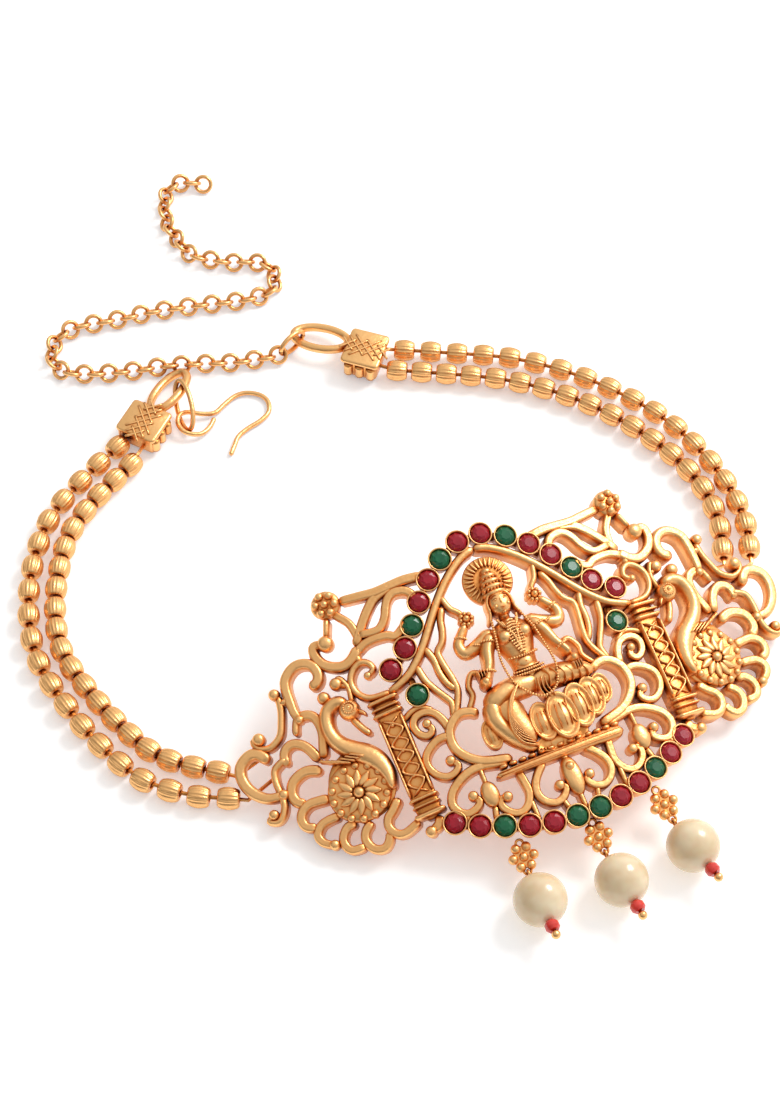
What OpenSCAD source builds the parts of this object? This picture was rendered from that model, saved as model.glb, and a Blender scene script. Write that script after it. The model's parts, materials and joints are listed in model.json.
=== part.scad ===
// Bajuband armlet lying open: a pierced gold plate with a seated goddess and two peacocks, set with red
// and green stones, three pearl drops, paired strands of gold beads, a hook and an adjusting chain.
// Millimetres, +Z up. The plate's long axis runs along X and the drops point along -Y.

/* [Node] */
// which piece is drawn, or all of them

/* [Plate] */
// lean of the plate: its top edge is raised off the surface
plate_lean = 15.6; // [0:0.1:30]
// height of the plate's middle above the surface
plate_rise = 12.0; // [8:0.1:20]
// radius that the middle of the plate is bent to
bend_r = 73; // [50:1:120]
// how far each way from the middle the bend runs
bend_reach = 22; // [10:1:40]
// depth of a scroll behind the plate's face
scroll_depth = 2.6; // [1:0.1:4]

/* [Stones] */
// radius of each cut stone at its girdle
stone_r = 1.55; // [1:0.05:3]
// outer radius of a collet at its rim
collet_r = 1.85; // [1.2:0.05:3.5]
// depth of a collet behind the plate's face
collet_depth = 2.9; // [1:0.1:5]
// height of a collet's rim in front of the face
collet_rim = 0.5; // [0:0.1:2]
// sides of a stone and of its collet
stone_sides = 8; // [8:1:16]

/* [Drops] */
// radius of a pearl
pearl_r = 4; // [2:0.1:8]
// radius of a gold ball in a cluster
grain_r = 0.76; // [0.4:0.02:2]
// distance between neighbouring balls of a cluster
grain_pitch = 1.58; // [0.8:0.05:3]
// radius to the wire of each small ring that joins a drop
ring_r = 0.56; // [0.4:0.02:2]
// radius of the wire of a drop
drop_wire_r = 0.2; // [0.1:0.02:1]

/* [Strands] */
// greatest radius of a barrel bead
bead_r = 1.78; // [1:0.02:3]
// length of a barrel bead
bead_length = 3.1; // [1.5:0.1:5]
// radius of the hole through a bead
bead_bore_r = 0.58; // [0.3:0.02:1.2]
// radius of the thread
thread_r = 0.33; // [0.1:0.02:1]

/* [Fastening] */
// outer diameter of a chain link
link_od = 3.35; // [2:0.1:8]
// radius of a chain link's wire
link_wire_r = 0.25; // [0.1:0.01:1]
// distance from one link to the next
link_pitch = 2.02; // [1:0.01:5]
// radius of the wire of the oval loops on the end caps
loop_wire_r = 0.72; // [0.3:0.02:2]
// radius of the wire of the hook
hook_wire_r = 0.4; // [0.2:0.02:1]
// height of an end cap
cap_height = 4.6; // [3:0.1:8]

/* [Hidden] */
gold = [0.86, 0.62, 0.26];
ruby_red = [0.62, 0.05, 0.14];
emerald_green = [0.02, 0.30, 0.20];
pearl_white = [0.93, 0.87, 0.76];
coral_red = [0.80, 0.10, 0.12];
small = 0.01;

// shift from the plate's middle to the middle of the whole armlet, on the surface
middle = [-8.6, 45.92];

// Stones of one half of the plate: name, distance from the middle line, height on the plate, is it red
STONES = [["arch", "7", 1.9, 27.5, true], ["arch", "6", 5.4, 25.9, false], ["arch", "5", 8.3, 23.6, true],
          ["arch", "4", 10.9, 20.9, true], ["arch", "3", 13.2, 18.0, false], ["arch", "2", 15.5, 15.2, true],
          ["arch", "1", 18.7, 13.0, true], ["side", "", 16.5, 7.9, false],
          ["low", "1", 18.8, -11.9, true], ["low", "2", 15.6, -13.8, true], ["low", "3", 12.3, -15.2, false],
          ["low", "4", 8.9, -16.5, true], ["low", "5", 5.4, -17.4, true], ["low", "6", 1.85, -17.8, false]];

// Scrolls of one half: width, ridge height, radius of the knob at the end, then points across and up
SCROLLS = [
    // arch rod, main curl beside the lotus, and the two curls that meet it
    [1.1, 0.4, 0, [[0, 25.8], [2, 25.2], [4, 24], [6, 22.4], [8, 20.4], [10, 18.1], [12, 15.6], [13.5, 13.9],
                   [15, 12.5], [17, 11.1], [20.4, 9.9]]],
    [1.2, 0.6, 0, [[7.2, -6.2], [10, -5.5], [11.8, -4.8], [13.3, -3.6], [14.4, -2], [14.6, -0.3], [14.1, 1.3],
                   [13, 2.4], [11.8, 2.9], [10.3, 2.6], [9.2, 1.8]]],
    [1.0, 0.5, 0.8, [[14.2, 1.3], [14.5, 3], [15.4, 4.6], [16.8, 5.2], [18.2, 4.9], [18.9, 3.8], [18.5, 2.4],
                     [17.4, 1.7], [16.5, 2.3], [16.9, 3.4]]],
    [0.8, 0.3, 0, [[15.2, 4.8], [16.8, 6.1], [18.4, 6], [20, 5.2]]],
    [1.0, 0.5, 0.9, [[14.4, 0.3], [15.6, 0.6], [16.8, 0.4], [18.1, -0.3], [19, -1.3], [19.2, -2.7], [18.5, -4.2],
                     [17.2, -5.1], [15.9, -5], [15, -4.1], [15.8, -3.1]]],
    // scrolls and buds under the seat
    [1.1, 0.5, 0.9, [[8, -6.6], [10, -6], [12, -5.6], [14, -5.7], [16, -6.5], [17.5, -7.7], [18.1, -9.2],
                     [17.6, -10.6], [16.5, -11.4], [15.2, -11.2], [14.2, -10.4], [14.8, -9.3]]],
    [0.6, 0.2, 0, [[12.3, -5.7], [12.4, -9]]],
    [1.0, 0.5, 0.9, [[7.3, -8.2], [7, -10.5], [7, -12], [7.8, -13.5], [9.1, -14.2], [10.5, -13.7], [11.4, -12.5],
                     [11.3, -11.3], [10.2, -11.3]]],
    [1.0, 0.5, 0.9, [[3.2, -8.4], [4.8, -9.9], [5.7, -11.3], [5.9, -12.8], [5.2, -14.1], [3.9, -14.8],
                     [2.5, -14.4], [1.7, -13.3], [2.4, -12.6]]],
    [0.7, 0.2, 0, [[2.8, -14.6], [2.3, -16.6]]], [0.7, 0.2, 0, [[7.2, -12.8], [7.2, -16.6]]],
    [0.8, 0.2, 0, [[12.4, -11.8], [13, -14]]], [0.8, 0.2, 0, [[16.5, -11.2], [17, -12.6]]],
    // flame strands between the figure and the arch
    [0.9, 0.3, 0, [[8, 19], [8.9, 17.2], [9.3, 15.6], [10, 14], [11.2, 12.8], [11.2, 11], [10.8, 8.5], [10.7, 6.5],
                   [11.3, 4.9], [12.5, 2.8]]],
    [0.9, 0.3, 0, [[12.8, 14.2], [12.2, 12], [12.2, 10], [11.8, 8], [10.9, 6.5]]],
    [0.9, 0.3, 0, [[15, 12.2], [14.6, 9.6], [13.8, 7.8], [12.9, 6.2], [12.3, 4.8], [12.9, 2.6]]],
    [0.8, 0.3, 0, [[6.4, 7.2], [7.9, 7.8], [9, 6.2], [9, 4.6], [10.4, 2.8]]],
    [0.8, 0.3, 0, [[7.6, 20.6], [7, 18.4], [6, 17.2], [5.3, 15.6]]],
    // branches of the upper corner
    [1.2, 0.4, 0, [[8.6, 24.6], [11.5, 25.1], [14, 25.1], [16.5, 25.1], [19, 25.5], [22, 26]]],
    [1.2, 0.4, 0, [[13.5, 25], [16.5, 24.4], [18.2, 23.2], [19.6, 21.8], [20.8, 20.4], [22.2, 18.6]]],
    [1.1, 0.4, 0, [[11, 21.8], [12, 23.4], [13.8, 23.9], [15, 23.3], [15.8, 22.2], [16.4, 21], [17.4, 19.9],
                   [18.6, 19.5], [21.2, 20]]],
    [1.1, 0.4, 0, [[13.6, 19], [15.9, 17.6], [17.2, 18.2], [19, 18.5], [20.8, 18.4], [22.6, 17.6]]],
    [1.0, 0.3, 0, [[21.4, 19.4], [21.5, 21], [21.9, 22.5], [22.8, 23.8], [23.6, 25]]],
    [1.3, 0.6, 1.4, [[21.8, 18.4], [23.5, 17], [25, 16.6], [26.5, 17.1], [27.8, 18.2], [28.4, 19.8], [28, 21.2],
                     [26.2, 20.8]]],
    [0.8, 0.3, 0, [[24.6, 24.4], [25.8, 21.6]]],
    [0.9, 0.4, 0.7, [[20, 10], [22.8, 10.3], [24.2, 11.2], [24.9, 12.6], [24.8, 14.2], [23.8, 15.5], [22.5, 16],
                     [21.4, 15.4], [21.1, 14.3], [22.2, 13.7]]],
    [1.2, 0.4, 0, [[20.5, -9.8], [21, -11], [22.4, -11.6]]], [0.9, 0.3, 0, [[22.5, 16], [22.8, 17.6]]],
    // wing: outer scrolls from the top round to the bottom
    [1.3, 0.6, 0.8, [[31, 15.6], [29.6, 16], [29, 17.2], [29.5, 18.8], [31, 19.6], [32.5, 19.4], [33.9, 18.3],
                     [34.4, 16.8], [34.5, 15], [34.5, 13.2], [34.2, 11.8]]],
    [1.2, 0.4, 0, [[34.4, 12.2], [33, 12.1], [32.1, 11.4], [31.7, 10.2], [31.8, 8.5], [32.4, 6.8], [33, 5]]],
    [0.9, 0.4, 0, [[34.2, 12.6], [35, 11.4], [35.6, 9.8]]],
    [0.9, 0.4, 1.1, [[35.9, 16.6], [36.2, 14.5], [36.9, 12.6], [37.7, 11], [38.9, 10.1], [40.2, 9.8], [41.6, 10.5],
                     [41.9, 11.7], [41, 11.6]]],
    [1.4, 0.6, 0.9, [[41.2, 7.8], [41.3, 8.8], [42.2, 9.8], [43.5, 9.9], [45, 9], [45.6, 7.3], [45.2, 5.3],
                     [44, 3.6], [42.6, 2.7], [40.6, 2.4]]],
    [0.9, 0.4, 0.9, [[38.3, 7.3], [39.6, 6.9], [40.6, 6.2], [41, 4.6], [41, 2.8], [41.1, 1], [41.9, -0.4], [43, -1],
                     [44.1, -0.4], [43.1, 0.2]]],
    [1.2, 0.5, 0, [[33.8, 5], [34.4, 6.8], [35.3, 8.2], [36.6, 8.9], [37.9, 8.5], [38.5, 7.3], [38.3, 6.2]]],
    [1.3, 0.5, 0, [[34, 3.4], [35.8, 4.2], [37.2, 4.2], [38.7, 3.5], [39.5, 2], [39.2, 0.6], [38, -0.2]]],
    [1.2, 0.5, 0, [[34.4, -0.9], [36.1, -0.6], [37.8, -0.5], [39.1, -1.2], [39.6, -2.4], [39.2, -3.5],
                   [37.8, -4.1]]],
    [1.1, 0.5, 0.9, [[34, -3.9], [35.6, -3.8], [37.2, -4.1], [38.2, -5.3], [37.8, -6.6], [36.4, -7.6]]],
    [1.1, 0.5, 0, [[32.2, -6], [33.6, -5.9], [34.8, -7], [35, -8.3], [34.2, -9.4], [32.2, -9.6]]],
    [1.1, 0.5, 0, [[30, -6.6], [31.4, -7.6], [31.9, -9], [31.2, -10.5], [29.8, -11], [28.7, -10.2], [28.2, -9]]],
    [1.1, 0.5, 0, [[25, -5], [26.4, -6.3], [27.6, -7.2], [28, -8.5], [27.3, -9.8], [25.9, -10.2], [23.4, -9.4]]],
    [0.9, 0.4, 0, [[34.6, 15.4], [36.1, 15.2]]], [0.9, 0.4, 0, [[31.9, 9], [29.8, 9.2]]],
    // peacock: neck, beak, body rim and crest
    [1.9, 1.2, 0, [[26.5, 11.2], [28.2, 11.8], [29.8, 11.2], [30.6, 9.5], [30.6, 7.5], [29.9, 5.8], [28.5, 4.2],
                   [26.8, 2.7], [25.3, 1.3], [24.6, -0.5]]],
    [0.9, 0.5, 0, [[26.9, 9], [26.1, 7], [25.1, 5.4]]],
    [0.7, 0.3, 1.1, [[26, 10.8], [25.6, 13.3], [26.4, 15.2], [27.1, 14.5]]],
    [0.7, 0.3, 1.1, [[27.6, 11.6], [28.6, 12.4], [29.6, 13.3]]], [0.7, 0.3, 0, [[24.9, 13.4], [27.2, 14.3]]]];

// Pillar mouldings of one half: height on the plate, width across
PILLAR_RINGS = [[9.2, 4.7], [7.4, 4.5], [-6.8, 4.5], [-9.2, 4.8]];

// Round bosses of one half: across, up, radius across, radius up, height in front of the face, sides
BOSSES = [[12.4, -10, 1.4, 2.1, 0.7, 6], [24, 26.3, 2.3, 2.2, 1.0, 7], [26.7, 10, 1.7, 1.7, 1.6, 8],
          [26.6, 10.1, 0.8, 0.8, 2.1, 6], [29.9, -1.7, 5, 4.8, 0.5, 10], [30, -2.2, 1.0, 1.0, 1.3, 6],
          [9.9, -0.8, 0.9, 0.9, 0.8, 6], [5.4, 15.2, 1.5, 1.5, 1.2, 7],
          [22.5, -11.6, 0.9, 0.9, 0.5, 6]];

// Petals round the peacock's rosette: how many, and how far out
PETALS = 6;
PETAL_OUT = 2.4;

// Figure and lotus: points with across, up, width and height in front of the face
FIGURE = [
    // neck, chest and waist, then the lap and the far knee, the near leg, the arms
    [[0, 15, 1.5, 1.2], [0, 13.4, 2.4, 1.4]],
    [[0, 13.4, 4.6, 1.3], [0, 11.6, 6.2, 2.0], [0, 9.6, 5.8, 2.4], [0, 7.4, 4.6, 1.8], [0, 5.4, 4.2, 1.6],
     [0, 3.2, 6, 1.8]],
    [[-1, 3.2, 4, 2.0], [3, 3, 4, 2.4], [6.4, 2.6, 3.4, 2.4], [9.6, 1.9, 2.0, 1.6]],
    [[1, 3.2, 4, 2.0], [-3, 3.2, 4, 2.6], [-6, 2.6, 3.8, 2.8], [-7.6, 1.4, 3, 2.4]],
    [[-6.8, 2.6, 3, 2.6], [-7.3, -0.4, 3.2, 2.4], [-6, -3.2, 3, 2.0], [-4.4, -5.2, 2.6, 1.6],
     [-3, -6.6, 2.0, 1.2]]];

// Arms of one half, with the same columns
ARMS = [[[2.6, 12.4, 2.2, 1.6], [5.2, 11.3, 1.7, 1.2], [7.8, 10.9, 1.6, 1.0], [8, 12.6, 1.4, 1.0],
         [6.6, 14.2, 1.3, 1.0], [5.4, 15.2, 1.3, 1.0]],
        [[3, 12, 2.2, 2.0], [4.6, 9.6, 1.8, 2.2], [5.1, 7.6, 1.6, 2.4], [6.2, 6, 1.7, 2.6], [6.6, 3.6, 1.2, 2.2]]];

// Lotus petals under the figure: across, up, half width, half height, height in front of the face
LOTUS = [[-1.6, -2.6, 2.0, 2.9, 1.6], [2.9, -2.7, 2.1, 2.9, 1.9], [6.4, -2.3, 2.0, 2.8, 1.6],
         [9, -1.4, 1.5, 2.2, 1.2], [-8.6, -1.6, 1.6, 2.2, 1.0], [0, -5.8, 3.6, 1.6, 0.8]];

// Drops: side letter, the eye's place across and up the plate, the pearl's place, and its pin's rise
DROPS = [["l", -11.2, -17.6, [-11.8, -25.9], 10], ["m", 0.1, -18.8, [0.4, -27.7], 4],
         ["r", 11.4, -17.6, [12.5, -26.8], 7]];

// Strands: bead count, then the points that the strand passes, from its cap to the plate
STRANDS = [
    ["left_outer", 20, [[-39.7, 76], [-47, 72.2], [-54.5, 67], [-60, 59.5], [-63.6, 51], [-65, 42.5],
                        [-63.7, 33.5], [-61.2, 24.5], [-57.2, 16.2], [-51, 10.8], [-46.8, 8.6]]],
    ["left_inner", 20, [[-39, 71.8], [-47, 67.4], [-52.5, 63], [-56.5, 57], [-59.6, 50], [-61, 42.8], [-59.8, 35],
                        [-57.4, 27], [-54.2, 20], [-49.6, 15.6], [-46.6, 13.4]]],
    ["right_outer", 18, [[11, 75.8], [19, 71.6], [26.8, 67.2], [33.8, 61.2], [39.4, 54.5], [44.2, 46.5],
                         [46.9, 38], [47.8, 29.5], [46.9, 22], [45.4, 18]]],
    ["right_inner", 18, [[8.2, 72.4], [16, 68.2], [23.5, 63.8], [30, 58.4], [35.5, 52], [40, 44.5], [43, 36.5],
                         [43.9, 29], [42.7, 22.6], [41.3, 19.2]]]];

// Where each thread starts inside its cap and where it ends behind the wing
THREAD_STARTS = [[-36.8, 78], [-34.6, 75.5], [7, 77.7], [4.9, 75.3]];
THREAD_ENDS = [[-40.7, 6], [-40.2, 9.8], [40.4, 9.8], [37, 12.4]];

// End caps: centre, turn of the axis from the beads to the loop, the loop's centre on that axis, its roll
CAPS = [[[-34.4, 77.5], 40, [8.4, 0.3], -25], [[4.4, 77], 139, [8.2, -1.4], 8]];

// Chain: points that it passes, from the ring on the right loop to its free end
CHAIN_PATH = [[-8.6, 83.4], [-12.3, 84.2], [-16.3, 85.2], [-20.5, 86.8], [-26.8, 88.9], [-31, 89.8], [-35.1, 91],
              [-39, 92.4], [-42.4, 94.4], [-43.4, 97], [-42.4, 100], [-39.8, 102], [-37, 102.4], [-33.3, 101.8],
              [-29.4, 101.1], [-25.2, 100.6], [-20.9, 99.7], [-16.8, 98.7], [-12.8, 97.6], [-8.4, 96.6],
              [-4.8, 96.8], [-2.8, 99.2], [-3.2, 102.4], [-5.6, 104.2], [-8.2, 105.2], [-11.5, 107.3],
              [-14.2, 109.8], [-15, 113.6], [-15.4, 117], [-14.8, 120], [-14, 122.6], [-12.2, 124.9],
              [-9.4, 125.4], [-7.1, 124], [-4.9, 123]];

// Hook: points across, along and above the surface, from the tip round the bend and back through its eye
HOOK_PATH = [[-22.9, 68.5, 0.4], [-21.9, 69.7, 0.4], [-20.6, 71.2, 0.4], [-18.6, 72.1, 0.4], [-16, 72.8, 0.4],
             [-14.2, 73.9, 0.4], [-13.5, 75.9, 0.4], [-14.2, 77.7, 0.4], [-16.1, 79, 0.4], [-18.1, 79.1, 0.4],
             [-20.4, 78.1, 0.5], [-22.4, 77.1, 0.6], [-24.5, 77.5, 0.9], [-26.6, 78.4, 1.4], [-28.2, 78.1, 1.7],
             [-29, 76.5, 1.7], [-28.4, 74.7, 1.4], [-26.3, 73.8, 0.9], [-24.4, 74.6, 0.6], [-23.1, 75.9, 0.5]];

// Points and directions

function unit(v) = v / max(norm(v), 0.0001);

// a point on the bent and leaning plate: across, up and in front of its face
function plate_point(s, t, h) =
    let (a = abs(s), side = s < 0 ? -1 : 1, turn = min(a, bend_reach) / bend_r * 180 / PI,
         over = max(a - bend_reach, 0),
         x = bend_r * sin(turn) + over * cos(turn) + h * sin(turn),
         z = -bend_r * (1 - cos(turn)) - over * sin(turn) + h * cos(turn))
    [side * x, t * cos(plate_lean) - z * sin(plate_lean), t * sin(plate_lean) + z * cos(plate_lean) + plate_rise];

// heading of a row of points at one of them
function heading(p, k) =
    let (n = len(p) - 1, a = k > 0 ? unit(p[k] - p[k - 1]) : unit(p[1] - p[0]),
         b = k < n ? unit(p[k + 1] - p[k]) : a)
    unit(a + b);

// a smooth curve through points, with a few steps between each pair
function curve(p, steps) =
    let (n = len(p) - 1)
    [for (k = [0:n - 1], i = [0:steps - 1])
        let (a = p[max(k - 1, 0)], b = p[k], c = p[k + 1], d = p[min(k + 2, n)], u = i / steps)
        0.5 * (2 * b + (c - a) * u + (2 * a - 5 * b + 4 * c - d) * u * u + (3 * b - a - 3 * c + d) * u * u * u),
     p[n]];

// the points that a row needs to keep its shape within a tolerance
function distance(q, a, b) =
    let (u = min(max((q - a) * (b - a) / max((b - a) * (b - a), small), 0), 1))
    norm(q - a - u * (b - a));
function thin(p, tol, from = 0, to = -1) =
    let (end = to < 0 ? len(p) - 1 : to)
    end - from < 2 ? [for (k = [from:end]) p[k]] :
    let (off = [for (k = [from:end]) distance(p[k], p[from], p[end])], far = max(off),
         at = from + min([for (k = [0:len(off) - 1]) if (off[k] == far) k]))
    far < tol ? [p[from], p[end]] : let (left = thin(p, tol, from, at), right = thin(p, tol, at, end))
    concat(left, [for (k = [1:len(right) - 1]) right[k]]);

// running length along a row of points
function run_length(p, k = 0, sum = 0) =
    k == len(p) - 1 ? [sum] : concat([sum], run_length(p, k + 1, sum + norm(p[k + 1] - p[k])));

// the point at a given length along a row of points
function at_length(p, run, where) =
    let (i = max([for (k = [0:len(p) - 2]) if (run[k] <= where + small) k]),
         part = (where - run[i]) / max(run[i + 1] - run[i], small))
    p[i] + (p[i + 1] - p[i]) * min(part, 1);

// count points spread evenly along a smooth curve
function spread(p, count) =
    let (c = curve(p, 6), run = run_length(c), whole = run[len(run) - 1])
    [for (k = [0:count - 1]) at_length(c, run, whole * k / (count - 1))];

// Solids made of rings of points

module rings_solid(rings, closed = false) {
    m = len(rings[0]);
    n = len(rings);
    sides = [for (k = [0:(closed ? n - 1 : n - 2)], j = [0:m - 1])
                let (a = k * m + j, b = k * m + (j + 1) % m, q = (k + 1) % n, c = q * m + (j + 1) % m, d = q * m + j)
                    each [[a, b, c], [a, c, d]]];
    ends = closed ? [] : [[for (j = [m - 1:-1:0]) j], [for (j = [0:m - 1]) (n - 1) * m + j]];
    polyhedron([for (r = rings) each r], concat(sides, ends), 4);
}

// depth behind the face: the wing's tips are thinner
function depth_at(s, back) = max(back - 1.2 * min(max((abs(s) - 41) / 3, 0), 1), 0);

// a scroll on the plate: its section is flat behind and narrows to the front
module scroll(points, width, crown, back = scroll_depth, knob = 0) {
    n = len(points) - 1;
    rings_solid([for (k = [0:n])
        let (d = heading(points, k), b = depth_at(points[k][0], back),
             w = knob > 0 && k == n ? knob : width / 2 * (k == 0 || k == n ? 0.8 : 1))
            [for (c = width < 1 ? [[w, -b], [-w, -b], [0, crown]] :
                                  [[w, -b], [-w, -b], [-w * 0.6, crown], [w * 0.6, crown]])
                plate_point(points[k][0] - d[1] * c[0], points[k][1] + d[0] * c[0], c[1])]]);
}

// a limb of the figure: rounder and higher, with its own width and height at each point
module limb(points) {
    flat = [for (p = points) [p[0], p[1]]];
    rings_solid([for (k = [0:len(points) - 1])
        let (d = heading(flat, k), w = points[k][2] / 2, f = points[k][3])
            [for (c = [[w, -1.5], [-w, -1.5], [-w, f * 0.3], [0, f], [w, f * 0.3]])
                plate_point(flat[k][0] - d[1] * c[0], flat[k][1] + d[0] * c[0], c[1])]]);
}

// a boss on the plate: stacked rings of [share of the radius, height]
module boss(at, radii, rows, sides, start = 0) {
    rings_solid([for (r = rows) [for (j = [0:sides - 1])
        let (a = start - 360 * j / sides)
            plate_point(at[0] + radii[0] * r[0] * cos(a), at[1] + radii[1] * r[0] * sin(a), r[1])]]);
}

module dome(at, radii, top, sides, back = scroll_depth) {
    boss(at, radii, [[1, -back], [0.7, top]], sides);
}

// a round tube along points in space; every ring stands square to the tube
module tube(points, r, sides, closed = false) {
    n = len(points);
    rings_solid([for (k = [0:n - 1])
        let (d = closed ? unit(points[(k + 1) % n] - points[(k + n - 1) % n]) : heading(points, k),
             side = unit(cross(d, [0, 0, 1]) + [0, 0.0001, 0]), up = cross(side, d))
            [for (j = [0:sides - 1]) points[k] + r * (side * cos(360 * j / sides) + up * sin(360 * j / sides))]],
        closed);
}

// Sub-parts

module seat_on_plate(s, t) {
    turn = (s < 0 ? -1 : 1) * min(abs(s), bend_reach) / bend_r * 180 / PI;
    translate(plate_point(s, t, 0)) rotate([plate_lean, 0, 0]) rotate([0, turn, 0]) children();
}

module stone(s, t, red) {
    color(red ? ruby_red : emerald_green) seat_on_plate(s, t) rings_solid(
        [for (row = [[stone_r - 0.35, -0.65], [stone_r, 0.1], [stone_r * 0.55, 0.75]])
            [for (j = [0:stone_sides - 1])
                let (a = -360 * j / stone_sides) [row[0] * cos(a), row[0] * sin(a), row[1]]]]);
}

module collet(s, t) {
    hull() seat_on_plate(s, t) translate([0, 0, -collet_depth])
        cylinder(h = collet_depth + collet_rim, r1 = collet_r * 0.74, r2 = collet_r, $fn = stone_sides);
}

module stone_seat(s, t) {
    seat_on_plate(s, t) translate([0, 0, -0.72]) cylinder(h = 2.4, r = stone_r + 0.07, $fn = stone_sides);
}

module pillar(side) {
    scroll([[side * 21.6, 9.9], [side * 21.6, -10]], 4 / 0.8, 0.6);
    for (row = PILLAR_RINGS)
        scroll([[side * (21.6 - row[1] / 2), row[0]], [side * (21.6 + row[1] / 2), row[0]]], 1.3, 1.3, 1.7);
    scroll([for (k = [-3:3]) [side * 21.6 + (k % 2 == 0 ? 1.4 : -1.4), 0.3 + 2 * k]], 0.8, 1.1, 0);
}

module rosette(side) {
    for (k = [0:PETALS - 1]) {
        a = 360 * k / PETALS;
        scroll([for (row = [[0.9, a], [PETAL_OUT, a + 24], [3.8, a + 34]])
                   [side * 30 + row[0] * cos(row[1]), -2.2 + row[0] * sin(row[1])]], 0.8, 1.2, 1);
    }
}

module figure() {
    for (row = FIGURE) limb(row);
    for (row = ARMS, side = [-1, 1]) limb([for (p = row) [side * p[0], p[1], p[2], p[3]]]);
    // rayed halo, crown, face
    boss([0, 20.2], [3.9, 3.8], [[1, -1.9], [1, 0.2], [0.5, 0.9]], 10);
    boss([0, 18.3], [1.7, 1.7], [[1, -1], [0.6, 2.4]], 6);
    boss([0, 16.1], [1.6, 1.9], [[0.9, -1.6], [1, 1.0], [0.6, 2.6]], 8);
    for (row = LOTUS) boss([row[0], row[1]], [row[2], row[3]], [[1, -1.7], [1, 0.2], [0.5, row[4]]], 6, 90);
    // chest, knees and the hands before them
    for (side = [-1, 1]) boss([side * 1.5, 10.6], [1.4, 1.4], [[1, 1], [0.6, 3]], 6);
}

// small eye under the lower stones that carries a drop
module drop_eye(row) {
    c = eye_at(row);
    oval_ring(c, drop_way(row), [0, 0, 1], ring_r, ring_r, drop_wire_r, 8, 4);
    tube([c - drop_way(row) * (ring_r - 0.1), plate_point(row[1], row[2] + 2.9, -2)], 0.35, 4);
}

// short tube behind a wing that holds the end of a thread, and the hole in it
module thread_socket(k) {
    tube([thread_end(k) - thread_way(k) * 1.2, thread_end(k) + thread_way(k) * 1.2], 0.8, 6);
}

module thread_bore(k) {
    tube([thread_end(k) - thread_way(k) * 0.6, thread_end(k) + thread_way(k) * 2], thread_r + 0.1, 6);
}

module casting() {
    color(gold) difference() {
        union() {
            for (i = [0:len(SCROLLS) - 1], side = [-1, 1]) {
                row = SCROLLS[i];
                // neighbouring scrolls differ a little in depth, as cut ones do
                step = (i % 4) * 0.14;
                points = thin([for (p = row[3]) [side * p[0], p[1]]], 0.55);
                scroll(points, row[0], row[1] - step, scroll_depth - step, row[2]);
            }
            for (row = BOSSES, side = [-1, 1]) dome([side * row[0], row[1]], [row[2], row[3]], row[4], row[5]);
            for (side = [-1, 1]) {
                pillar(side);
                rosette(side);
                // knob of the curl at the top of the wing
                dome([side * 36.3, 16.9], [0.9, 0.9], 0.8, 6);
            }
            // seat slab with its central bud
            scroll([[-10.6, -8.1], [-9.4, -8.1], [10, -8.1]], 1.7, 0.9);
            dome([0, -12], [1.5, 3.2], 0.8, 6);
            // bars behind the side collets
            for (side = [-1, 1]) scroll([[side * 16.5, 5.5], [side * 16.5, 11.2]], 1.2, -0.9);
            scroll([[0, -8], [0, -10]], 1.2, 0.4);
            scroll([[0, -14], [0, -17.4]], 0.9, 0.2);
            scroll([[-2.4, -6], [-2.4, -8.2]], 2.4, 0.4);
            scroll([[2.4, -5], [2.4, -8.2]], 3.4, 0.4);
            figure();
            for (row = STONES, side = [-1, 1]) collet(side * row[2], row[3]);
            // strips behind the two rows of collets
            for (first = [0, 8]) {
                half = [for (k = [first:(first == 0 ? 6 : 13)]) [STONES[k][2], STONES[k][3]]];
                far = first == 0 ? half : [for (k = [len(half) - 1:-1:0]) half[k]];
                scroll(concat([for (k = [len(far) - 1:-1:0]) [-far[k][0], far[k][1]]], far), 0.9, -0.9, 2.7);
            }
            for (row = DROPS) drop_eye(row);
            for (k = [0:3]) thread_socket(k);
        }
        for (row = STONES, side = [-1, 1]) stone_seat(side * row[2], row[3]);
        for (k = [0:3]) thread_bore(k);
    }
}

// turns the children's +Z axis along a direction, at a point
module along(at, d) {
    v = unit(d);
    translate(at) rotate([0, acos(v[2]), atan2(v[1], v[0])]) children();
}

module wire_ring(radius, wire) {
    rotate_extrude($fn = 32) translate([radius, 0]) circle(wire, $fn = 16);
}

// an oval ring of round wire: centre, its long and its short direction, and half its length and width
module oval_ring(c, l, m, a, b, wire, steps = 18, sides = 6) {
    up = unit(cross(l, m));
    rings_solid([for (k = [0:steps - 1])
        let (t = 360 * k / steps, p = c + a * cos(t) * l + b * sin(t) * m,
             d = unit(-a * sin(t) * l + b * cos(t) * m), side = cross(d, up))
            [for (j = [0:sides - 1]) p + wire * (side * cos(360 * j / sides) + up * sin(360 * j / sides))]], true);
}

// Drops: where a drop's parts lie

function eye_at(row) = plate_point(row[1], row[2], -1.2);
function pearl_at(row) = [row[3][0], row[3][1], pearl_r];
function drop_way(row) = unit([pearl_at(row)[0] - eye_at(row)[0], pearl_at(row)[1] - eye_at(row)[1], 0]);
function pin_way(row) = drop_way(row) * cos(row[4]) + [0, 0, sin(row[4])];
function pin_ring_at(row) = pearl_at(row) - pin_way(row) * (pearl_r + 0.12 + ring_r + drop_wire_r);

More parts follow.
